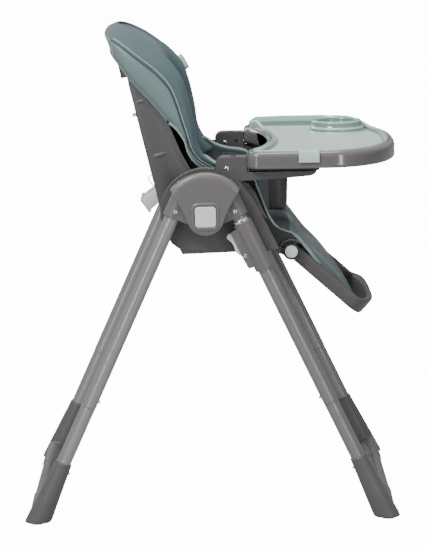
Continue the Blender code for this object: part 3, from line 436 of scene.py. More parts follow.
def surface(net, along=4, across=4):
    """Fill a net of points with rows that curve smoothly through all of them."""
    rows = [smooth_path(row, across) for row in net]
    columns = [smooth_path(column, along) for column in zip(*rows)]
    return [list(row) for row in zip(*columns)]


def sheet(rows, tint=None):
    """A grid of points as a surface; points that meet are merged."""
    mesh = bmesh.new()
    wide, deep = len(rows[0]), len(rows)
    made = bmesh.ops.create_grid(mesh, x_segments=wide - 1, y_segments=deep - 1, size=1)
    for vert, point in zip(made["verts"], [point for row in rows for point in row]):
        vert.co = point
    mesh.verts.index_update()
    for face in mesh.faces:
        low = min(vert.index for vert in face.verts)
        face.material_index = tint(low // wide, low % wide) if tint else 0
    bmesh.ops.remove_doubles(mesh, verts=mesh.verts, dist=0.0003)
    bmesh.ops.dissolve_degenerate(mesh, edges=mesh.edges, dist=0.0002)
    return mesh


def arc(centre, radius, start, end, steps):
    return [(centre[0] + radius * cos(start + (end - start) * i / steps),
             centre[1] + radius * sin(start + (end - start) * i / steps))
            for i in range(steps + 1)]


def bend(start, control, end, steps):
    points = []
    for i in range(1, steps + 1):
        t = i / steps
        points.append(tuple((1 - t) ** 2 * start[k] + 2 * t * (1 - t) * control[k]
                            + t * t * end[k] for k in (0, 1)))
    return points


def eased(share):
    share = min(max(share, 0.0), 1.0)
    return share * share * (3 - 2 * share)


def smooth_path(points, per_span=6):
    """A Catmull-Rom curve through points."""
    points = [Vector(p) for p in points]
    ends = [points[0] * 2 - points[1]] + points + [points[-1] * 2 - points[-2]]
    path = []
    for a, b, c, d in zip(ends, ends[1:], ends[2:], ends[3:]):
        for i in range(per_span):
            t = i / per_span
            path.append(0.5 * (2 * b + (c - a) * t + (2 * a - 5 * b + 4 * c - d) * t * t
                               + (3 * b - a - 3 * c + d) * t ** 3))
    return path + [points[-1]]


def cord_mesh(points, radius, sides=8, into=None, flat=1.0):
    """A round or flattened cord swept along a path."""
    mesh = into or bmesh.new()
    path = [Vector(p) for p in points]
    up = Vector((0, 1, 0))
    rings = []
    for i, here in enumerate(path):
        ahead = (path[min(i + 1, len(path) - 1)] - path[max(i - 1, 0)]).normalized()
        across = ahead.cross(up)
        across = across.normalized() if across.length > 0.05 else Vector((0, 0, 1))
        other = ahead.cross(across).normalized()
        rings.append([here + across * radius * cos(2 * pi * k / sides)
                      + other * radius * flat * sin(2 * pi * k / sides)
                      for k in range(sides)])
    return skinned(rings, mesh)


def stitches(points, long=0.0032, gap=0.0022, radius=0.0005):
    """A row of short thread stitches along a path."""
    mesh = bmesh.new()
    path = [Vector(p) for p in points]
    run, walked = long + gap, 0.0
    spans = [(a, b, (b - a).length) for a, b in zip(path, path[1:]) if (b - a).length > 0]
    total = sum(length for _, _, length in spans)

    def spot(distance):
        for a, b, length in spans:
            if distance <= length:
                return a.lerp(b, distance / length)
            distance -= length
        return path[-1].copy()

    while walked + long < total:
        cord_mesh([spot(walked), spot(walked + long / 2), spot(walked + long)], radius, 5,
                  mesh)
        walked += run
    return mesh


def refined(node, look, width, body, angle=30):
    """A CAD node's own shape with its edges rounded."""
    mesh = bmesh.new()
    mesh.from_mesh(frame["nodes"][node].data)
    bmesh.ops.remove_doubles(mesh, verts=mesh.verts, dist=1e-5)
    bmesh.ops.dissolve_limit(mesh, angle_limit=radians(0.5), verts=mesh.verts,
                             edges=mesh.edges)
    made = piece(f"{node}_moulding", mesh, look, body, (node,), crease=0)
    return edged(made, width, 2, angle)


# ---------------------------------------------------------------- legs
def leg_line(datum, sign=1):
    """A leg's middle line: where it starts, and its direction."""
    start = datum.at(0, LEG_OFFSET, sign * TUBE_Y)
    return start, datum.at(1, LEG_OFFSET, sign * TUBE_Y) - start


def tube_run(radius, t0, t1, datum, sign):
    lip, bore = 0.0006, radius - 0.0017
    profile = [(bore, t0), (radius - lip, t0), (radius, t0 + lip), (radius, t1 - lip),
               (radius - lip, t1), (bore, t1)]
    return turned(profile, *leg_line(datum, sign), 56)


def pin_dome(at, direction):
    radius, proud = 0.0032, 0.004
    profile = [(0.0, -0.002), (radius, -0.002), (radius, proud - radius * 0.6),
               (radius * 0.8, proud - radius * 0.2), (radius * 0.4, proud), (0.0, proud)]
    return turned(profile, at, direction, 20, closed=False)


def legs():
    for name, datum in LEGS.items():
        body = f"{name}_frame"
        inward = -Vector((datum.across.x, 0, datum.across.y))
        for side, sign in SIDES.items():
            for part, radius, t0, t1 in (("upper", TUBE_R, LEG_TOP, SEAM_T),
                                         ("lower", LOWER_R, SEAM_T + 0.0003, LEG_END)):
                piece(f"{name}_{part}_leg_{side}", tube_run(radius, t0, t1, datum, sign),
                      f"{name}_paint", body, (f"{name}_{part}_tube_{side}",))
            for place, t, radius in (("seam", SEAM_T - 0.018, TUBE_R),
                                     ("boot", BOOT_T + 0.020, 0.0182)):
                at = datum.at(t, LEG_OFFSET, sign * TUBE_Y) + inward * radius
                piece(f"{name}_{place}_pin_{side}", pin_dome(at, inward), "zinc", body)
            boot(name, datum, body, side, sign)
        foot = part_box(f"{name}_floor_bar")
        x, z = (foot[0].x + foot[1].x) / 2, (foot[0].z + foot[1].z) / 2
        half = foot[1].y
        profile = [(0.0133, -half), (0.0150, -half), (0.0150, half), (0.0133, half)]
        piece(f"{name}_cross_bar", turned(profile, (x, 0, z), (0, 1, 0), 48),
              "bar_paint", body, (f"{name}_floor_bar",))


def boot(name, datum, body, side, sign):
    """Corner boot: a collar that flares to the floor and turns in along the bar."""
    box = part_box(f"{name}_boot_{side}")
    sole, glide = 0.0033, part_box(f"{name}_glide_{side}")
    foot_x = (glide[0].x + glide[1].x) / 2
    lean = atan2(datum.along.x, -datum.along.y)
    end_t = (datum.origin.y + datum.across.y * LEG_OFFSET) / -datum.along.y
    circle = [(cos(2 * pi * k / 32), sin(2 * pi * k / 32)) for k in range(32)]
    rings = []
    stations = [(0.0, 0.0168), (0.003, 0.0181), (0.10, 0.0188), (0.35, 0.0214),
                (0.62, 0.0246), (0.85, 0.0278), (0.93, 0.0288), (0.975, 0.0284),
                (1.0, 0.0262)]
    for part, half_x in stations:
        here = datum.at(BOOT_T + (end_t - BOOT_T) * part, LEG_OFFSET, TUBE_Y)
        here.z = max(here.z, sole)
        if part == 1.0:
            here.z = sole
        half_y = min(half_x, 0.0245)
        tilt = lean * (1 - part)
        rings.append([here + Vector((half_x * c * cos(tilt), half_y * s,
                                     half_x * c * sin(tilt))) for c, s in circle])
    mesh = skinned(rings)
    arms = []
    inward = -0.006 if foot_x > 0 else 0.006
    reach = TUBE_Y - min(abs(box[0].y), abs(box[1].y))
    for station in range(13):
        part = station / 12
        ease = eased(part)
        half_x, high = 0.0205 - 0.0033 * ease, 0.0430 - 0.0068 * ease
        mid, rise = (high + sole) / 2, (high - sole) / 2
        arms.append([Vector((foot_x + inward * (1 - ease) + half_x * c,
                             TUBE_Y - reach * part, mid + rise * s)) for c, s in circle])
    skinned(arms, mesh)
    made = piece(f"{name}_foot_boot_{side}", mesh, "boot_plastic", body,
                 (f"{name}_boot_{side}",), sign, 0)
    fused(made, *BOOT_WELD)


# ---------------------------------------------------------------- hubs
def screw(name, at, direction, body, radius=0.0048):
    """A zinc pan-head screw in a shallow ring, with painted near-black shade in its cross-head hollow."""
    direction = Vector(direction).normalized()
    head = turned([(0.0, 0.0006), (radius * 0.30, 0.0005), (radius * 0.34, 0.0014),
                   (radius * 0.75, 0.0012), (radius, 0.0003), (radius, -0.001),
                   (0.0, -0.001)], at, direction, 28, closed=False)
    piece(name, head, "zinc", body)
    # Painted shade: a near-black square in the head's dimple for the shade in the cross recess.
    slot_mesh = turned([(0.0, 0.0009), (radius * 0.33, 0.0009), (radius * 0.33, 0.0),
                        (0.0, 0.0)], at, direction, 4, closed=False)
    piece(f"{name}_recess", slot_mesh, "recess", body)


def fan_edge(steps=28):
    """Points of the hub cover's outline, all round, from the hub."""
    half = radians(52)
    corner = (FAN_R * sin(half), FAN_R * cos(half))
    boss, waist = 0.0395, radians(-8)
    tangent = (boss * cos(waist), boss * sin(waist))
    top = arc((0, 0), FAN_R, pi / 2 - half, pi / 2 + half, steps)
    left = bend((-corner[0], corner[1]), (-0.0475, 0.0165), (-tangent[0], tangent[1]), 12)
    bottom = arc((0, 0), boss, pi - waist, 2 * pi + waist, 24)[1:]
    right = bend(tangent, (0.0475, 0.0165), corner, 12)[:-1]
    return top + left + bottom + right


def soft_square(size, corner, steps=6):
    half = size / 2 - corner
    points = []
    for quarter in range(4):
        start = quarter * pi / 2
        centre = (half if quarter in (0, 3) else -half, half if quarter < 2 else -half)
        points += arc(centre, corner, start, start + pi / 2, steps)
    return points


def hub_point(x, z, y):
    return Vector((HUB.x + x, y, HUB.y + z))


def hub_cover(side, sign):
    """Fan-shaped cover with a broad rolled top edge and a raised collar for the button."""
    edge = fan_edge()
    roll, depth = 0.0160, 0.0096
    rings = []
    for share, drop in ((1.0, None), (1.0, 0.0008), (0.992, 0.0003), (0.98, 0.0),
                        (0.965, 0.0), (0.945, 0.0), (0.92, 0.0), (0.895, 0.0), (0.87, 0.0),
                        (0.845, 0.0), (0.82, 0.0)):
        points = []
        for x, z in edge:
            reach = Vector((x, z)).length * share
            past = max(0.0, reach - (FAN_R - roll)) / roll
            fall = depth * (1 - (1 - min(past, 1.0) ** 2) ** 0.5)
            y = COVER_IN if drop is None else COVER_OUT - fall - drop
            points.append(hub_point(x * share, z * share, max(y, COVER_IN)))
        rings.append(points)
    mesh = skinned(rings)
    piece(f"hub_fan_{side}", mesh, "frame_plastic", "front_frame", (f"hub_cover_{side}",),
          sign, 50)
    collar = []
    for grow, y in ((0.0062, COVER_OUT - 0.0006), (0.0046, COVER_OUT + 0.0007),
                    (0.0026, COVER_OUT + 0.0018), (0.0006, COVER_OUT + 0.0022),
                    (-0.0008, COVER_OUT + 0.0018), (-0.0014, COVER_OUT + 0.0004),
                    (-0.0018, COVER_OUT - 0.003)):
        collar.append([hub_point(x, z, y) for x, z in
                       soft_square(0.0490 + 2 * grow, 0.0095 + grow)])
    mesh = bmesh.new()
    loops = [ring(mesh, points) for points in collar]
    for low, high in zip(loops, loops[1:]):
        bmesh.ops.bridge_loops(mesh, edges=low + high)
    piece(f"hub_collar_{side}", mesh, "frame_plastic", "front_frame", (), sign, 60)
    # Painted shade: a thin near-black sheet under the button for the shadow in the gap round it.
    well = extruded([hub_point(x, z, COVER_OUT + 0.0002) for x, z in
                     soft_square(0.0462, 0.0085)], (0, 0.0002, 0))
    piece(f"hub_well_{side}", well, "recess", "front_frame", (), sign)


def fold_button(side, sign):
    """The soft square cap that is pressed to fold the legs."""
    face = COVER_OUT + 0.0020
    rings = []
    for inset, y in ((0.0, face - 0.0020), (0.0, face - 0.0012), (0.0004, face - 0.0005),
                     (0.0014, face - 0.0001), (0.004, face), (0.010, face - 0.0002)):
        rings.append([hub_point(x, z, y) for x, z in
                      soft_square(0.0440 - 2 * inset, max(0.0070 - inset, 0.002))])
    piece(f"fold_button_cap_{side}", skinned(rings), "button_plastic",
          f"fold_button_{side}", (f"fold_button_{side}",), sign, 60)


def socket(name, datum, side, sign):
    """The moulding that grips a leg's top: a half-round sleeve and a web to the pivot."""
    mesh = turned([(0.0, -0.0455), (GRIP_R * 0.8, -0.0450), (GRIP_R, -0.042),
                   (GRIP_R, 0.0325), (GRIP_R - 0.0008, 0.0332), (0.0, 0.0332)],
                  *leg_line(datum), 48, closed=False)
    low = TUBE_Y - GRIP_R
    web = [(-0.0440, 0.0430), (-0.0440, LEG_OFFSET), (0.0320, LEG_OFFSET),
           (0.0320, 0.0280), (0.0262, 0.0250), (0.0120, 0.0320), (-0.0030, 0.0340),
           (-0.0160, 0.0300), (-0.0250, 0.0330)]
    plate(datum, web, low + 0.0025, TUBE_Y + GRIP_R - 0.0015, mesh)
    outer = name == "front"
    lug = (TUBE_Y - 0.0063, TUBE_Y + GRIP_R) if outer else (low, TUBE_Y - 0.0067)
    turned([(0.0, lug[0]), (0.0335, lug[0]), (0.0340, lug[0] + 0.0005),
            (0.0340, lug[1] - 0.0005), (0.0335, lug[1]), (0.0, lug[1])],
           datum.at(0, 0), (0, 1, 0), 48, mesh, closed=False)
    plate(datum, [(-0.020, 0.020), (-0.020, 0.046), (0.022, 0.046), (0.022, 0.020)],
          lug[0] + 0.0004, lug[1] - 0.0004, mesh)
    body = f"{name}_frame"
    made = piece(f"{name}_socket_{side}", mesh, "frame_plastic", body,
                 (f"{name}_hub_socket_{side}",), sign, 0)
    fused(made, *SOCKET_WELD)
    at = (0.0625, 0.009) if outer else (-0.0625, 0.010)
    screw(f"{name}_socket_screw_{side}",
          hub_point(*at, sign * (TUBE_Y + GRIP_R - 0.0012)), (0, sign, 0), body)


def hubs():
    for side, sign in SIDES.items():
        for name, datum in LEGS.items():
            socket(name, datum, side, sign)
        hub_cover(side, sign)
        fold_button(side, sign)


# ---------------------------------------------------------------- seat carriage
def slider(side, sign):
    """The grip that runs on a front leg, with its foot and the trigger that frees it."""
    line, bore = leg_line(FRONT), TUBE_R + 0.0004
    mesh = turned([(bore, 0.047), (GRIP_R - 0.001, 0.047), (GRIP_R, 0.048),
                   (GRIP_R, 0.156), (GRIP_R - 0.001, 0.157), (bore, 0.157)], *line, 56)
    piece(f"slider_sleeve_{side}", mesh, "frame_plastic", "seat",
          (f"height_slider_{side}",), sign)
    collar = turned([(bore, 0.0395), (0.0178, 0.0395), (0.0182, 0.0402),
                     (0.0182, 0.0462), (bore, 0.0462)], *line, 56)
    piece(f"slider_ring_{side}", collar, "zinc", "seat", (), sign)
    slab(f"slider_foot_{side}", FRONT, [(0.0475, 0.048), (0.0475, 0.0765),
                                        (0.1565, 0.0765), (0.1565, 0.048)],
         (PLATE_Y[1] + 0.0003, TUBE_Y - 0.003), "frame_plastic", (), sign, 0.0012)
    cheeks = bmesh.new()
    outline = [(0.056, 0.0305), (0.056, 0.0465), (0.143, 0.0465), (0.143, 0.0340),
               (0.139, 0.0310), (0.122, 0.0300)]
    for y0, y1 in ((0.2584, 0.2642), (0.2788, 0.2846)):
        plate(FRONT, outline, y0, y1, cheeks)
    plate(FRONT, [(0.119, 0.0305), (0.119, 0.045), (0.1425, 0.045), (0.1425, 0.0345),
                  (0.1385, 0.0315)], 0.2634, 0.2796, cheeks)
    edged(piece(f"trigger_housing_{side}", cheeks, "frame_plastic", "seat", (), sign, 0),
          0.0010)
    wave = [(0.0580, 0.0245), (0.0605, 0.0200), (0.0650, 0.0185), (0.0710, 0.0210),
            (0.0780, 0.0238), (0.0870, 0.0240), (0.0960, 0.0232), (0.1050, 0.0248),
            (0.1130, 0.0300), (0.1135, 0.0345), (0.1080, 0.0385), (0.0950, 0.0350),
            (0.0700, 0.0345), (0.0590, 0.0320)]
    smooth = [(p.x, p.y) for p in smooth_path([(t, u, 0) for t, u in wave[:9]], 4)]
    trigger = f"height_trigger_{side}"
    slab(f"trigger_lever_{side}", FRONT, smooth + wave[9:],
         (TUBE_Y - 0.0070, TUBE_Y + 0.0070), "button_plastic", (trigger,), sign, 0.0016,
         body=trigger)
    pin = FRONT.at(0.1140, 0.0375, sign * 0.2846)
    screw(f"trigger_screw_{side}", pin, (0, sign, 0), "seat", 0.0040)


def side_plate(side, sign):
    """The plate behind the hub, with a raised rim along its edges."""
    points = arc((0, 0), 0.0955, radians(200), radians(77), 40)
    outline = [(x, HUB.y + z) for x, z in points]
    outline += [(0.0215, 0.7305), (0.072, 0.7305)]
    outline += bend((0.072, 0.7305), (0.099, 0.700), (0.119, 0.657), 5)
    outline += [(0.155, 0.585), (0.132, 0.5805), (0.060, 0.580), (-0.055, 0.586),
                (-0.073, 0.600)]
    slab(f"seat_side_plate_{side}", CHAIR, outline, PLATE_Y, "shell_plastic",
         (f"side_plate_{side}",), sign, 0.0014)


def armrest(side, sign):
    """Armrest block with the rail that carries the tray."""
    top, rail_top, rail_end = 0.781, 0.7490, 0.235
    outline = [(0.023, 0.747), (0.0232, 0.764)]
    outline += arc((0.0405, 0.7635), 0.0175, pi, pi / 2, 10)
    outline += [(0.0888, top), (0.0888, rail_top), (rail_end, rail_top)]
    outline += bend((rail_end, rail_top), (rail_end - 0.002, 0.740),
                    (rail_end - 0.018, 0.7385), 6)
    outline += [(0.171, 0.735), (0.087, 0.7312), (0.059, 0.7312), (0.040, 0.7365)]
    slab(f"arm_{side}", CHAIR, outline, ARM_Y, "arm_plastic", (f"armrest_{side}",), sign,
         0.0030, 4)
    for name, y, out in (("arm_screw", ARM_Y[1] - 0.0002, sign),
                         ("arm_inner_screw", ARM_Y[0] + 0.0002, -sign)):
        screw(f"{name}_{side}", CHAIR.at(0.046, 0.7575, sign * y), (0, out, 0), "seat")
    # Painted shade: a near-black disc for the shade inside the hole in the arm's inner face.
    slab(f"arm_hole_{side}", CHAIR, arc((0.072, 0.7610), 0.0040, 0, 2 * pi, 24)[:-1],
         (ARM_Y[0] - 0.0004, ARM_Y[0] + 0.0004), "recess", (), sign)
    stop = plate(CHAIR, [(0.0884, 0.7488), (0.0884, 0.7562), (0.0945, 0.7562),
                         (0.0945, 0.7488)], 0.209, 0.245)
    piece(f"arm_stop_{side}", stop, "arm_plastic", "seat", (), sign, 0)
    # Painted shade: a near-black bar for the shade inside the slot in the arm's top.
    slab(f"arm_slot_{side}", CHAIR, soft_line(0.060, 0.7815, 0.012, 0.0016),
         (0.222, 0.232), "recess", (), sign)


def soft_line(x, z, length, height):
    """A thin rounded bar as an outline."""
    r = height / 2
    return (arc((x + length / 2 - r, z), r, -pi / 2, pi / 2, 5)
            + arc((x - length / 2 + r, z), r, pi / 2, 3 * pi / 2, 5))


def seat_parts():
    for side, sign in SIDES.items():
        slider(side, sign)
        side_plate(side, sign)
        armrest(side, sign)
        hinge_side(side, sign)
    refined("seat_base", "base_plastic", 0.0012, "seat", 40)


# ---------------------------------------------------------------- leg rest
def hinge_side(side, sign):
    """One leg-rest hinge: collar, button, and the ribbed shroud behind them."""
    centre = REST.at(0, 0)
    low = WALL_Y[1] + 0.0003
    collar = turned([(0.0063, low), (0.0172, low), (0.0180, low + 0.0008),
                     (0.0180, low + 0.0106), (0.0173, low + 0.0115),
                     (0.0152, low + 0.0115), (0.0145, low + 0.0108), (0.0145, low + 0.0025),
                     (0.0063, low + 0.0025)], centre, (0, 1, 0))
    piece(f"hinge_collar_{side}", collar, "dark_plastic", "seat",
          (f"leg_rest_hinge_{side}",), sign)
    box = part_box(f"leg_rest_button_{side}")
    near, far = sorted((abs(box[0].y), abs(box[1].y)))
    cap = turned([(0.0, near), (0.0134, near), (0.0136, near + 0.0002),
                  (0.0136, far - 0.0012), (0.0130, far - 0.0004), (0.0115, far),
                  (0.006, far - 0.0003), (0.0, far - 0.0004)], centre, (0, 1, 0), 48,
                 closed=False)
    piece(f"hinge_button_{side}", cap, "button_plastic", f"leg_rest_button_{side}",
          (f"leg_rest_button_{side}",), sign, 50)
    slab(f"hinge_shroud_{side}", CHAIR,
         [(0.110, 0.590), (0.110, 0.660), (0.146, 0.624), (0.163, 0.6125), (0.184, 0.606),
          (0.190, 0.598), (0.188, 0.584), (0.150, 0.578)],
         (WALL_Y[0] - 0.0004, WALL_Y[1] + 0.0002), "dark_plastic", (), sign)
    comb = bmesh.new()
    inner, outer = 0.0192, 0.0268
    arch = arc((0, 0), outer, radians(48), radians(172), 18)
    arch += arc((0, 0), outer - 0.0024, radians(172), radians(48), 18)
    plate(Datum(REST.origin, (1, 0), (0, 1)), arch, WALL_Y[1] + 0.0004, 0.1945, comb)
    for k in range(7):
        turn = radians(62 + 16 * k)
        wide = 0.0009
        spoke = Datum(REST.origin, (cos(turn), sin(turn)), (-sin(turn), cos(turn)))
        plate(spoke, [(inner, -wide), (outer - 0.001, -wide), (outer - 0.001, wide),
                      (inner, wide)], WALL_Y[1] + 0.0004, 0.1940, comb)
    piece(f"hinge_ribs_{side}", comb, "shell_plastic", "seat", (), sign)


def rest_outline(inset=0.0, start=0.016, steps=28):
    """Plan of the leg rest as (along, y): straight sides and a rounded end."""
    half, end, turn = 0.175 - inset, 0.222 - inset, 0.167
    points = [(start, -half), ((start + turn) / 2, -half)]
    for i in range(steps + 1):
        angle = -pi / 2 + pi * i / steps
        across = abs(sin(angle)) ** 0.75 * (1 if angle > 0 else -1)
        points.append((turn + (end - turn) * abs(cos(angle)) ** 0.75, half * across))
    return points + [((start + turn) / 2, half), (start, half)]


def leg_rest():
    """Shallow tray with rails at the sides and a lip that rises round the end."""
    low, high = -0.0135, 0.0166
    rings = []
    for inset, n in ((0.0060, low), (0.0015, low + 0.0010), (0.0, low + 0.0045),
                     (0.0, 0.0110), (0.0010, 0.0148), (0.0035, 0.0166), (0.0095, 0.0166),
                     (0.0125, 0.0150), (0.0138, 0.0110), (0.0150, -0.0060),
                     (0.0190, -0.0095)):
        start = 0.016 + inset
        points = []
        for t, y in rest_outline(inset, start):
            lift = 0.0130 * eased((t - 0.182) / 0.030) * max(0.0, (n - low) / (high - low))
            points.append(REST.at(t, n + lift, y))
        rings.append(points)
    mesh = skinned(rings)
    # Painted shade: the trough's inner wall and floor take near-black dark plastic for the shade inside it.
    painted_shade_from = 8 * len(rings[0])
    for index, face in enumerate(mesh.faces):
        face.material_index = int(index > painted_shade_from)
    piece("leg_rest_tray", mesh, ["shell_plastic", "dark_plastic"], "leg_rest",
          ("leg_rest_shell",), crease=60)
    for side, sign in SIDES.items():
        ear = turned([(0.0063, 0.1610), (0.0142, 0.1610), (0.0150, 0.1618),
                      (0.0150, 0.1742), (0.0142, 0.1750), (0.0063, 0.1750)],
                     REST.at(0, 0), (0, 1, 0))
        plate(REST, [(0.0, -0.0118), (0.030, -0.0125), (0.030, 0.0150), (0.0, 0.0148)],
              0.1618, 0.1742, ear)
        piece(f"leg_rest_ear_{side}", ear, "shell_plastic", "leg_rest", (), sign)


# ---------------------------------------------------------------- tray
TRAY = {"half": 0.270, "rear": 0.089, "front": 0.4165, "curve": 0.240, "belly": 0.135,
        "lobe": 0.060, "corner": 0.026, "power": 2.4}
INSERT_FLOOR, INSERT_RIM, CUP_TOP = 0.786, 0.7955, 0.812


def tray_plan(inset=0.0):
    """Plan of the tray as (x from the hub, y): front curve, straight sides, belly cut."""
    half, front = TRAY["half"] - inset, TRAY["front"] - TRAY["curve"] - inset
    power = 2 / TRAY["power"]
    points = []
    for i in range(61):
        angle = -pi / 2 + pi * i / 60
        across = abs(sin(angle)) ** power * (1 if angle > 0 else -1)
        points.append((TRAY["curve"] + front * abs(cos(angle)) ** power, half * across))
    rear = TRAY["rear"] + inset
    corner = max(TRAY["corner"] - 0.8 * inset, 0.006)
    left = [(TRAY["curve"] - 0.06, half)] + arc((rear + corner, half - corner), corner,
                                                pi / 2, pi, 10)
    lobe = TRAY["half"] - TRAY["lobe"] + inset
    inner = bend((rear, lobe), (rear, lobe - 0.012), (rear + 0.010, lobe - 0.022), 5)
    reach, belly, count = lobe - 0.024, TRAY["belly"] + inset, 28
    sweep = []
    for i in range(count + 1):
        y = reach * (1 - 2 * i / count)
        share = 1 - (abs(y) / reach) ** 2.2
        sweep.append((rear + 0.012 + (belly - rear - 0.012) * share, y))
    half_way = left + [(rear, lobe)] + inner[:-1]
    return points + half_way + sweep + [(x, -y) for x, y in half_way[::-1]]


def tray_base():
    rings = []
    for inset, z in ((0.0052, 0.7738), (0.0048, 0.7580), (0.0036, 0.7571), (0.0014, 0.7574),
                     (0.0002, 0.7590), (0.0, 0.7640), (0.0003, 0.7810), (0.0014, 0.7862),
                     (0.0036, 0.7898), (0.0066, 0.7922), (0.0096, 0.7930),
                     (0.0116, 0.7926), (0.0122, 0.7905), (0.0124, 0.7780)):
        rings.append([CHAIR.at(x, z, y) for x, y in tray_plan(inset)])
    piece("tray_body", skinned(rings), "tray_gloss", "tray", ("tray_base",), crease=50)


def rim_lift(x, y):
    share = eased((y - 0.130) / 0.085) * eased((x - 0.086) / 0.040)
    return share * eased((TRAY["front"] - 0.006 - x) / 0.085)


def tray_insert():
    """Lift-out dish whose far rim climbs to the cup holder."""
    rings = []
    for inset, z in ((0.0180, 0.7782), (0.0131, 0.7782), (0.0129, 0.7900), (0.0132, 0.7940),
                     (0.0142, 0.7954), (0.0160, 0.7957), (0.0186, 0.7953),
                     (0.0204, 0.7938), (0.0214, 0.7910), (0.0226, 0.7878),
                     (0.0246, 0.7864), (0.0280, 0.7860)):
        share = min(max((z - INSERT_FLOOR) / (INSERT_RIM - INSERT_FLOOR), 0.0), 1.0)
        rings.append([CHAIR.at(x, z + (CUP_TOP - INSERT_RIM) * share * rim_lift(x, y), y)
                      for x, y in tray_plan(inset)])
    mesh = skinned(rings)
    for face in mesh.faces:
        if all(abs(v.co.z - INSERT_FLOOR) < 1e-5 for v in face.verts):
            face.material_index = 1
    # Painted shade: the bands of the dish's inner wall take the darker green.
    shaded_walls = range(8 * len(rings[0]), 10 * len(rings[0]))
    mesh.faces.ensure_lookup_table()
    for index in shaded_walls:
        mesh.faces[index].material_index = 2
    piece("tray_dish", mesh, ["insert_gloss", "insert_floor", "insert_wall"], "tray_insert",
          ("tray_insert",), crease=50)
    cup = CHAIR.at(0.300, INSERT_FLOOR, 0.155)
    profile = [(0.0440, -0.0004), (0.0455, 0.0006), (0.0465, 0.0030), (0.0470, 0.0215),
               (0.0480, 0.0245), (0.0500, 0.0260), (0.0535, 0.0261), (0.0556, 0.0250),
               (0.0566, 0.0225), (0.0576, 0.0130), (0.0588, 0.0115), (0.0606, 0.0105),
               (0.0614, 0.0085), (0.0618, 0.0035), (0.0630, 0.0010), (0.0650, -0.0004)]
    ring_mesh = turned(profile, cup, (0, 0, 1), 72)
    # Painted shade: the cup ring's steep sides take the darker green.
    for face in ring_mesh.faces:
        face.normal_update()
        face.material_index = int(abs(face.normal.z) < 0.35)
    piece("cup_ring", ring_mesh, ["insert_gloss", "insert_wall"], "tray_insert", (),
          crease=60)
    for side, sign in SIDES.items():
        hook = [(0.2535, 0.7910), (0.2535, 0.7962), (0.2560, 0.7968), (0.2690, 0.7966),
                (0.2722, 0.7955), (0.2736, 0.7925), (0.2745, 0.7720), (0.2741, 0.7704),
                (0.2722, 0.7704), (0.2712, 0.7716), (0.2708, 0.7905), (0.2690, 0.7938),
                (0.2600, 0.7942)]
        points = [Vector((HUB.x + 0.197, y, z)) for y, z in hook]
        made = piece(f"insert_clip_{side}", extruded(points, (0.043, 0, 0)), "insert_clip",
                     "tray_insert", (), sign, 0)
        edged(made, 0.0009, 3, 25)


def tray_parts():
    tray_base()
    tray_insert()
    rings = []
    for z, half_x, half_y in ((0.6320, 0.0110, 0.0110), (0.6326, 0.0172, 0.0165),
                              (0.6350, 0.0212, 0.0205), (0.6400, 0.0232, 0.0228),
                              (0.6520, 0.0242, 0.0242), (0.7000, 0.0254, 0.0285),
                              (0.7734, 0.0264, 0.0320)):
        rings.append([CHAIR.at(0.1568 + half_x * cos(2 * pi * i / 48), z,
                               half_y * sin(2 * pi * i / 48)) for i in range(48)])
    piece("crotch_guard", skinned(rings), "post_plastic", "tray", ("crotch_post",),
          crease=50)
    refined("tray_runner_left", "dark_plastic", 0.0015, "tray")
    refined("tray_runner_right", "dark_plastic", 0.0015, "tray")
    refined("tray_release_lever", "frame_plastic", 0.0018, "tray_release")


# ---------------------------------------------------------------- backrest shell
def back_parts():
    refined("back_shell", "shell_plastic", 0.0014, "backrest", 40)
    rim = [(0.3200, -0.0345), (0.2700, -0.0185), (0.2190, 0.0090), (0.1430, 0.0230),
           (0.0980, 0.0350), (0.0600, 0.0350)]
    for side, sign in SIDES.items():
        path = smooth_path([BACK.at(a, f - 0.004, 0.1905) for a, f in rim], 6)
        made = piece(f"shell_rim_{side}", cord_mesh(path, 0.0046, 10, flat=0.30),
                     "shell_plastic", "backrest", (), sign)
        for index, (a, f, long, high) in enumerate(((0.270, -0.030, 0.030, 0.010),
                                                    (0.150, -0.022, 0.034, 0.010))):
            bump = bmesh.new()
            bmesh.ops.create_uvsphere(bump, u_segments=32, v_segments=16, radius=1)
            turn = Matrix.Rotation(-BACK_LEAN, 4, "Y")
            bmesh.ops.transform(bump, verts=bump.verts, matrix=Matrix.Translation(
                BACK.at(a, f, 0.1888)) @ turn @ Matrix.Diagonal(
                (long / 2, 0.0030, high / 2, 1)))
            piece(f"shell_boss_{index}_{side}", bump, "shell_plastic", "backrest", (), sign)
    ribs = bmesh.new()
    for y in (-0.120, -0.060, 0.0, 0.060, 0.120):
        plate(BACK, [(0.085, SHELL_REAR + 0.001), (0.085, SHELL_REAR - 0.0045),
                     (0.310, SHELL_REAR - 0.0045), (0.318, SHELL_REAR + 0.001)],
              y - 0.0018, y + 0.0018, ribs)
    edged(piece("shell_ribs", ribs, "shell_plastic", "backrest", (), 1, 0), 0.0008)
    refined("recline_handle", "button_plastic", 0.0018, "recline_handle")


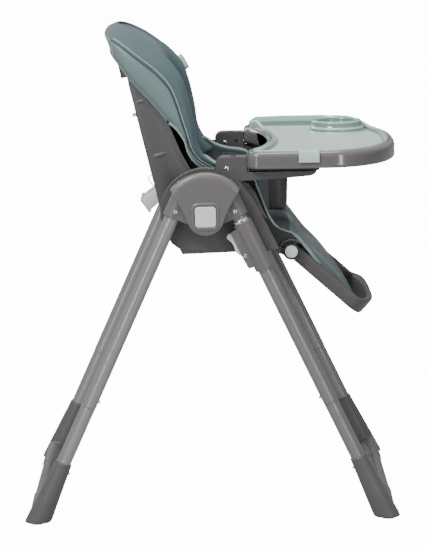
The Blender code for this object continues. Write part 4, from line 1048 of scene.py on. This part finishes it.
# ---------------------------------------------------------------- soft goods
# Each row of the hood runs from its hem, over the piping seam and the front edge, and in
# to the middle of the back: (hem, seam, edge) as (height, forward, half width), and the
# height where the row meets the middle.
HOOD_ROWS = [
    ((0.086, 0.083, 0.178), (0.092, 0.084, 0.180), (0.100, 0.087, 0.170), 0.045),
    ((0.112, 0.052, 0.186), (0.118, 0.056, 0.187), (0.128, 0.068, 0.172), 0.075),
    ((0.138, 0.0405, 0.192), (0.146, 0.045, 0.195), (0.160, 0.062, 0.175), 0.110),
    ((0.168, 0.0385, 0.1945), (0.178, 0.0430, 0.199), (0.195, 0.0655, 0.177), 0.145),
    ((0.198, 0.0265, 0.1955), (0.213, 0.0400, 0.201), (0.232, 0.0670, 0.178), 0.180),
    ((0.218, 0.0115, 0.1960), (0.247, 0.0375, 0.202), (0.265, 0.0665, 0.174), 0.215),
    ((0.246, -0.0020, 0.1962), (0.286, 0.0300, 0.202), (0.300, 0.0620, 0.168), 0.250),
    ((0.274, -0.0170, 0.1962), (0.324, 0.0090, 0.202), (0.336, 0.0460, 0.160), 0.285),
    ((0.322, -0.0440, 0.1955), (0.362, -0.0210, 0.200), (0.368, 0.0220, 0.146), 0.310),
    ((0.360, -0.0600, 0.1880), (0.393, -0.0460, 0.190), (0.395, -0.0010, 0.126), 0.335),
    ((0.376, -0.0690, 0.1600), (0.4145, -0.0680, 0.162), (0.416, -0.0230, 0.098), 0.356),
    ((0.382, -0.0740, 0.1000), (0.4235, -0.0765, 0.102), (0.429, -0.0400, 0.058), 0.370),
    ((0.384, -0.0745, 0.0), (0.4255, -0.0780, 0.0), (0.4345, -0.0480, 0.0), 0.377),
]
SEAM, EDGE, FINE = 2, 4, 4        # columns of the seam and front edge, and rows per step


def hood_row(hem, seam, edge, middle, filled):
    """Control points of one row, from hem to the middle of the back."""
    hem, seam, edge = Vector(hem), Vector(seam), Vector(edge)
    width = edge.z / 0.178
    crown = 0.006 * width
    pocket = hem.lerp(seam, 0.5) + Vector((0, 0, 0.0060 * width))
    band = seam.lerp(edge, 0.5) + Vector((0.003, 0.004, 0.0100 * width))
    inner = edge + Vector((-0.005 + 0.002 * filled, -0.008 + 0.004 * filled,
                           -0.0260 * width))
    depth = -0.018 + (edge.y - 0.006 + 0.018) * filled
    middle += (edge.x - 0.003 - middle) * filled
    root = Vector((middle + 0.45 * (edge.x - middle), depth + 0.020 * width * (1 - filled),
                   0.130 * width))
    wing = inner.lerp(root, 0.5) + Vector((0, 0.004 * (1 - filled), 0.0040 * width))
    quarter = Vector((middle + 0.15 * (edge.x - middle), depth + crown * 0.2,
                      0.085 * width))
    near = Vector((middle + 0.03 * (edge.x - middle), depth + crown, 0.040 * width))
    centre = Vector((middle, depth + crown, 0.0))
    return [hem, pocket, seam, band, edge, inner, wing, root, quarter, near, centre]


def outward(points, reach, sign):
    return [Vector((p.x, p.y + sign * reach, p.z)) for p in points]


def hood():
    """Padded cover that hoods the shell's top: side pockets, band, and the back itself."""
    rows = [hood_row(*row, eased((index - 2.5) / 6)) for index, row in
            enumerate(HOOD_ROWS)]
    net = [[BACK.at(p.x, p.y, p.z) for p in row] for row in rows]
    net += [[BACK.at(p.x, p.y, -p.z) for p in row] for row in rows[::-1][1:]]
    fine = surface(net, FINE, FINE)
    made = piece("hood_cover", sheet(fine, lambda row, column: int(column < SEAM * FINE)),
                 ["hood_cloth", "pocket_cloth", "lining"], "backrest", ("back_pad",),
                 crease=50)
    thick(made, 0.0022, 2)
    half = (len(fine) + 1) // 2
    for side, part in (("left", fine[:half]), ("right", fine[::-1][:half])):
        sign = SIDES[side]
        seam = [row[SEAM * FINE] for row in part[:10 * FINE]]
        piece(f"hood_seam_{side}", cord_mesh(outward(seam, 0.0006, sign), 0.0014),
              "thread", "backrest")
        piece(f"hood_piping_{side}",
              cord_mesh(outward([row[SEAM * FINE + 1] for row in part[:10 * FINE]],
                                0.0002, sign), 0.0011), "piping", "backrest")
        hem = [row[0] for row in part]
        low = 5 * FINE
        piece(f"hood_binding_{side}", cord_mesh(outward(hem[:low], -0.001, sign), 0.0042,
                                                10, flat=0.7), "piping", "backrest")
        piece(f"hood_hem_{side}", cord_mesh(outward(hem[low:], -0.0018, sign), 0.0022),
              "pocket_cloth", "backrest")
        piece(f"binding_stitches_{side}",
              stitches(outward(hem[:low], 0.0022, sign)), "thread", "backrest")
        inset = [row[0].lerp(row[FINE], 0.28) for row in part[low - 2:]]
        piece(f"hem_stitches_{side}", stitches(outward(inset, 0.0022, sign)), "thread",
              "backrest")
    tag(fine)


def tag(fine):
    """Blank sewn-in label on the far front edge of the hood."""
    edge = [row[EDGE * FINE] for row in fine[:len(fine) // 2]]
    start = min(range(len(edge)), key=lambda i: abs(edge[i].z - 0.933))
    run = edge[start:start + 5]
    rows = []
    for point in run:
        out = Vector((cos(radians(35)), 0, sin(radians(35))))
        rows.append([point - out * 0.004, point + out * 0.002, point + out * 0.0060,
                     point + out * 0.0095])
    made = piece("blank_tag", sheet(rows), "tag_cloth", "backrest")
    thick(made, 0.0009)


# ---------------------------------------------------------------- seat cover
WING_TOP = [(-0.010, 0.778), (0.004, 0.774), (0.024, 0.760), (0.051, 0.751),
            (0.080, 0.747), (0.095, 0.741), (0.104, 0.725), (0.114, 0.700),
            (0.132, 0.652), (0.146, 0.627), (0.163, 0.609)]
ARCH = [(0.006, 0.680), (0.011, 0.712), (0.028, 0.736), (0.052, 0.742), (0.078, 0.734),
        (0.094, 0.712), (0.106, 0.680)]
WING_Y = (0.153, 0.177)
# The cover's middle line as (along, up, half width, hang of its edges): first over the
# cushion, measured from the hub, then down the leg rest from its hinge.
CUSHION = [(-0.045, 0.654, 0.148, 0.020), (-0.020, 0.641, 0.150, 0.020),
           (0.020, 0.634, 0.151, 0.020), (0.070, 0.631, 0.151, 0.020),
           (0.120, 0.633, 0.152, 0.020), (0.150, 0.634, 0.154, 0.021),
           (0.172, 0.630, 0.160, 0.024), (0.187, 0.6175, 0.163, 0.0165),
           (0.200, 0.600, 0.163, 0.0090)]
TONGUE = [(0.029, 0.0274, 0.161, 0.0050), (0.060, 0.0258, 0.157, 0.0100),
          (0.100, 0.0205, 0.142, 0.0110), (0.140, 0.0125, 0.116, 0.0080),
          (0.172, 0.0040, 0.084, 0.0040), (0.192, -0.0030, 0.046, 0.0010)]
FRONT_ROW = 6


def seat_cover():
    """The cover that runs over the cushion, down its front and onto the leg rest."""
    shares = (0, 0.3, 0.6, 0.88, 0.955, 0.99, 1)
    net = []
    for datum, stations in ((CHAIR, CUSHION), (REST, TONGUE)):
        for t, u, half, hang in stations:
            side = [datum.at(t, u + 0.0026 * share * share - hang * eased(
                (share - 0.86) / 0.14) ** 1.5, half * share) for share in shares]
            net.append([Vector((p.x, -p.y, p.z)) for p in side[:0:-1]] + side)
    fine = surface(net, FINE, 2)
    # The cushion's top rows take the darker slate cloth: partly a second cloth, partly painted shade from the tray
    # above it. The front and the leg rest take the teal.
    made = piece("seat_cover", sheet(fine, lambda row, column:
                                     int(row < (FRONT_ROW + 1) * FINE - 2)),
                 ["seat_cloth", "slate_cloth"], None, ("leg_rest_pad",), crease=0)
    thick(made, 0.0060)
    bend_at = (CHAIR.at(0.176, 0.629), REST.at(0.065, 0.010))
    pieces = [made]
    for side, sign in SIDES.items():
        edge = [row[-1 if sign > 0 else 0] for row in
                fine[FRONT_ROW * FINE - 3:(FRONT_ROW + 4) * FINE + 2]]
        for name, drop, radius in (("upper", 0.0, 0.0019), ("lower", 0.0044, 0.0015)):
            path = [Vector((p.x, p.y + sign * 0.0008, p.z - drop)) for p in edge]
            pieces.append(piece(f"cover_{name}_piping_{side}", cord_mesh(path, radius),
                                "piping", None))
        wing(side, sign)
    for made in pieces:
        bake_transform(made)
    strap = bmesh.new()
    bmesh.ops.create_cube(strap, size=1, matrix=Matrix.Translation(CHAIR.at(0.1310, 0.676))
                          @ Matrix.Diagonal((0.022, 0.044, 0.104, 1)))
    edged(piece("crotch_strap", strap, "slate_cloth", "seat", (), 1, 0), 0.0045, 4)


def wing(side, sign):
    """Padded side of the seat, with piping along both edges and a stitched arch."""
    low, high = WING_Y
    top = [(p.x, p.y) for p in smooth_path([(x, z, 0) for x, z in WING_TOP], 5)]
    mesh = plate(CHAIR, top + [(0.163, 0.6035), (-0.010, 0.6035)], low, high)
    for face in mesh.faces:
        face.normal_update()
        if abs(face.normal.y) > 0.9 and face.calc_center_median().y > (low + high) / 2:
            face.material_index = 1
    made = piece(f"seat_wing_{side}", mesh, ["wing_cloth", "lining"], "seat",
                 ("seat_pad",), sign, 0)
    edged(made, 0.0050, 4, 50)
    for name, y, radius in (("outer", high - 0.0015, 0.0024),
                            ("inner", low + 0.004, 0.0020)):
        path = [CHAIR.at(x, z - 0.0006, sign * y) for x, z in top]
        piece(f"wing_{name}_piping_{side}", cord_mesh(path, radius), "piping", "seat")
    for drop in (0.006, 0.011):
        path = [CHAIR.at(x - 0.3 * drop, z - drop, sign * (low - 0.0004))
                for x, z in top[5:-12]]
        piece(f"wing_stitches_{round(drop * 1000)}_{side}", stitches(path), "thread",
              "seat")
    arch = [(p.x, p.y) for p in smooth_path([(x, z, 0) for x, z in ARCH], 5)]
    slab(f"wing_panel_{side}", CHAIR, arch, (low - 0.0025, low + 0.001), "slate_cloth", (),
         sign, 0.0016, 3, 40)
    path = [CHAIR.at(0.055 + (x - 0.055) * 0.90, 0.700 + (z - 0.700) * 0.88,
                     sign * (low - 0.0028)) for x, z in arch]
    piece(f"panel_stitches_{side}", stitches(path), "piping", "seat")


# ---------------------------------------------------------------- behind the backrest
def back_fittings():
    """The strap's wire loop and clip on the rear of the shell."""
    loop = [(-0.1060, 0.728), (-0.1175, 0.7265), (-0.1225, 0.7180), (-0.1150, 0.7065),
            (-0.1040, 0.7030)]
    path = smooth_path([CHAIR.at(x, z, -0.1) for x, z in loop], 6)
    piece("strap_loop", cord_mesh(path, 0.0013), "zinc", "backrest")
    slab("strap_clip", CHAIR, soft_line(-0.1500, 0.858, 0.010, 0.008), (-0.106, -0.094),
         "button_plastic", edge=0.001, body="backrest")


def build():
    legs()
    hubs()
    seat_parts()
    leg_rest()
    tray_parts()
    back_parts()
    hood()
    seat_cover()
    back_fittings()


# ---------------------------------------------------------------- studio
WHITE = 14.0                      # how bright the floor and backdrop are to the camera
DOME = (-0.2, 0.9, 0.07, 0.95)    # light from the horizon up to overhead
CAMERA_AT, LENS = (0.0079, -4.868, 1.3759), 145.2
TILT, ROLL = radians(79.636), radians(-1.0)
LIGHTS = (("key", (-1.7, -2.4, 3.4), (1.2, 0.9), 130),
          ("strip_left", (-1.7, -3.4, 0.9), (0.14, 2.6), 26),
          ("strip_right", (1.9, -3.1, 0.9), (0.22, 2.6), 26),
          ("top", (0.2, -0.4, 3.4), (1.8, 1.4), 55),
          ("rim", (-1.8, 2.6, 2.2), (1.2, 1.8), 30))


def stood(name, data, at, turn):
    """Put a camera or a light in the scene."""
    made = bpy.data.objects.new(name, data)
    made.location, made.rotation_mode, made.rotation_quaternion = at, "QUATERNION", turn
    bpy.context.scene.collection.objects.link(made)
    return made


def studio():
    """Camera, floor and soft lights."""
    scene = bpy.context.scene
    lens = bpy.data.cameras.new("camera")
    lens.lens, lens.sensor_width, lens.sensor_fit = LENS, 36, "AUTO"
    turn = Matrix.Rotation(TILT, 4, "X") @ Matrix.Rotation(ROLL, 4, "Z")
    scene.camera = stood("camera", lens, CAMERA_AT, turn.to_quaternion())
    mesh = bmesh.new()
    bmesh.ops.create_grid(mesh, x_segments=1, y_segments=1, size=12)
    data = bpy.data.meshes.new("floor")
    mesh.to_mesh(data)
    mesh.free()
    floor = bpy.data.objects.new("floor", data)
    paint = Look("floor_paint")
    seen = paint.node("ShaderNodeLightPath", {}, {}, "Is Camera Ray")
    data.materials.append(paint.finish(Base_Color=(0.40, 0.40, 0.40), Roughness=0.9,
                                       Emission_Color=paint.mixed(seen, (0, 0, 0),
                                                                  (1, 1, 1)),
                                       Emission_Strength=WHITE))
    scene.collection.objects.link(floor)
    world = Look("studio", bpy.data.worlds.new("studio"), "Background")
    seen = world.node("ShaderNodeLightPath", {}, {}, "Is Camera Ray")
    sky = world.node("ShaderNodeTexCoord", {}, {}, "Generated")
    height = world.node("ShaderNodeSeparateXYZ", {}, {0: sky}, "Z")
    names = ("Value", "From Min", "From Max", "To Min", "To Max")
    dome = world.node("ShaderNodeMapRange", {}, dict(zip(names, (height, *DOME))))
    level = world.node("ShaderNodeMapRange", {},
                       {"Value": seen, "To Min": dome, "To Max": WHITE})
    scene.world = world.finish(Strength=level, Color=(1, 1, 1, 1))
    for name, where, size, power in LIGHTS:
        light = bpy.data.lights.new(name, "AREA")
        light.shape, light.size, light.size_y, light.energy = "RECTANGLE", *size, power
        aim = Vector((0, 0, 0.6)) - Vector(where)
        stood(name, light, where, aim.to_track_quat("-Z", "Y"))


build()
node_slots = {part["node"]: part["material_slot"] for part in frame["record"]["subparts"]}
for node in frame["nodes"].values():
    look = next(name for name, slot in SLOTS.items() if slot == node_slots[node.name])
    node.data.materials.clear()
    node.data.materials.append(LOOKS[look])
studio()
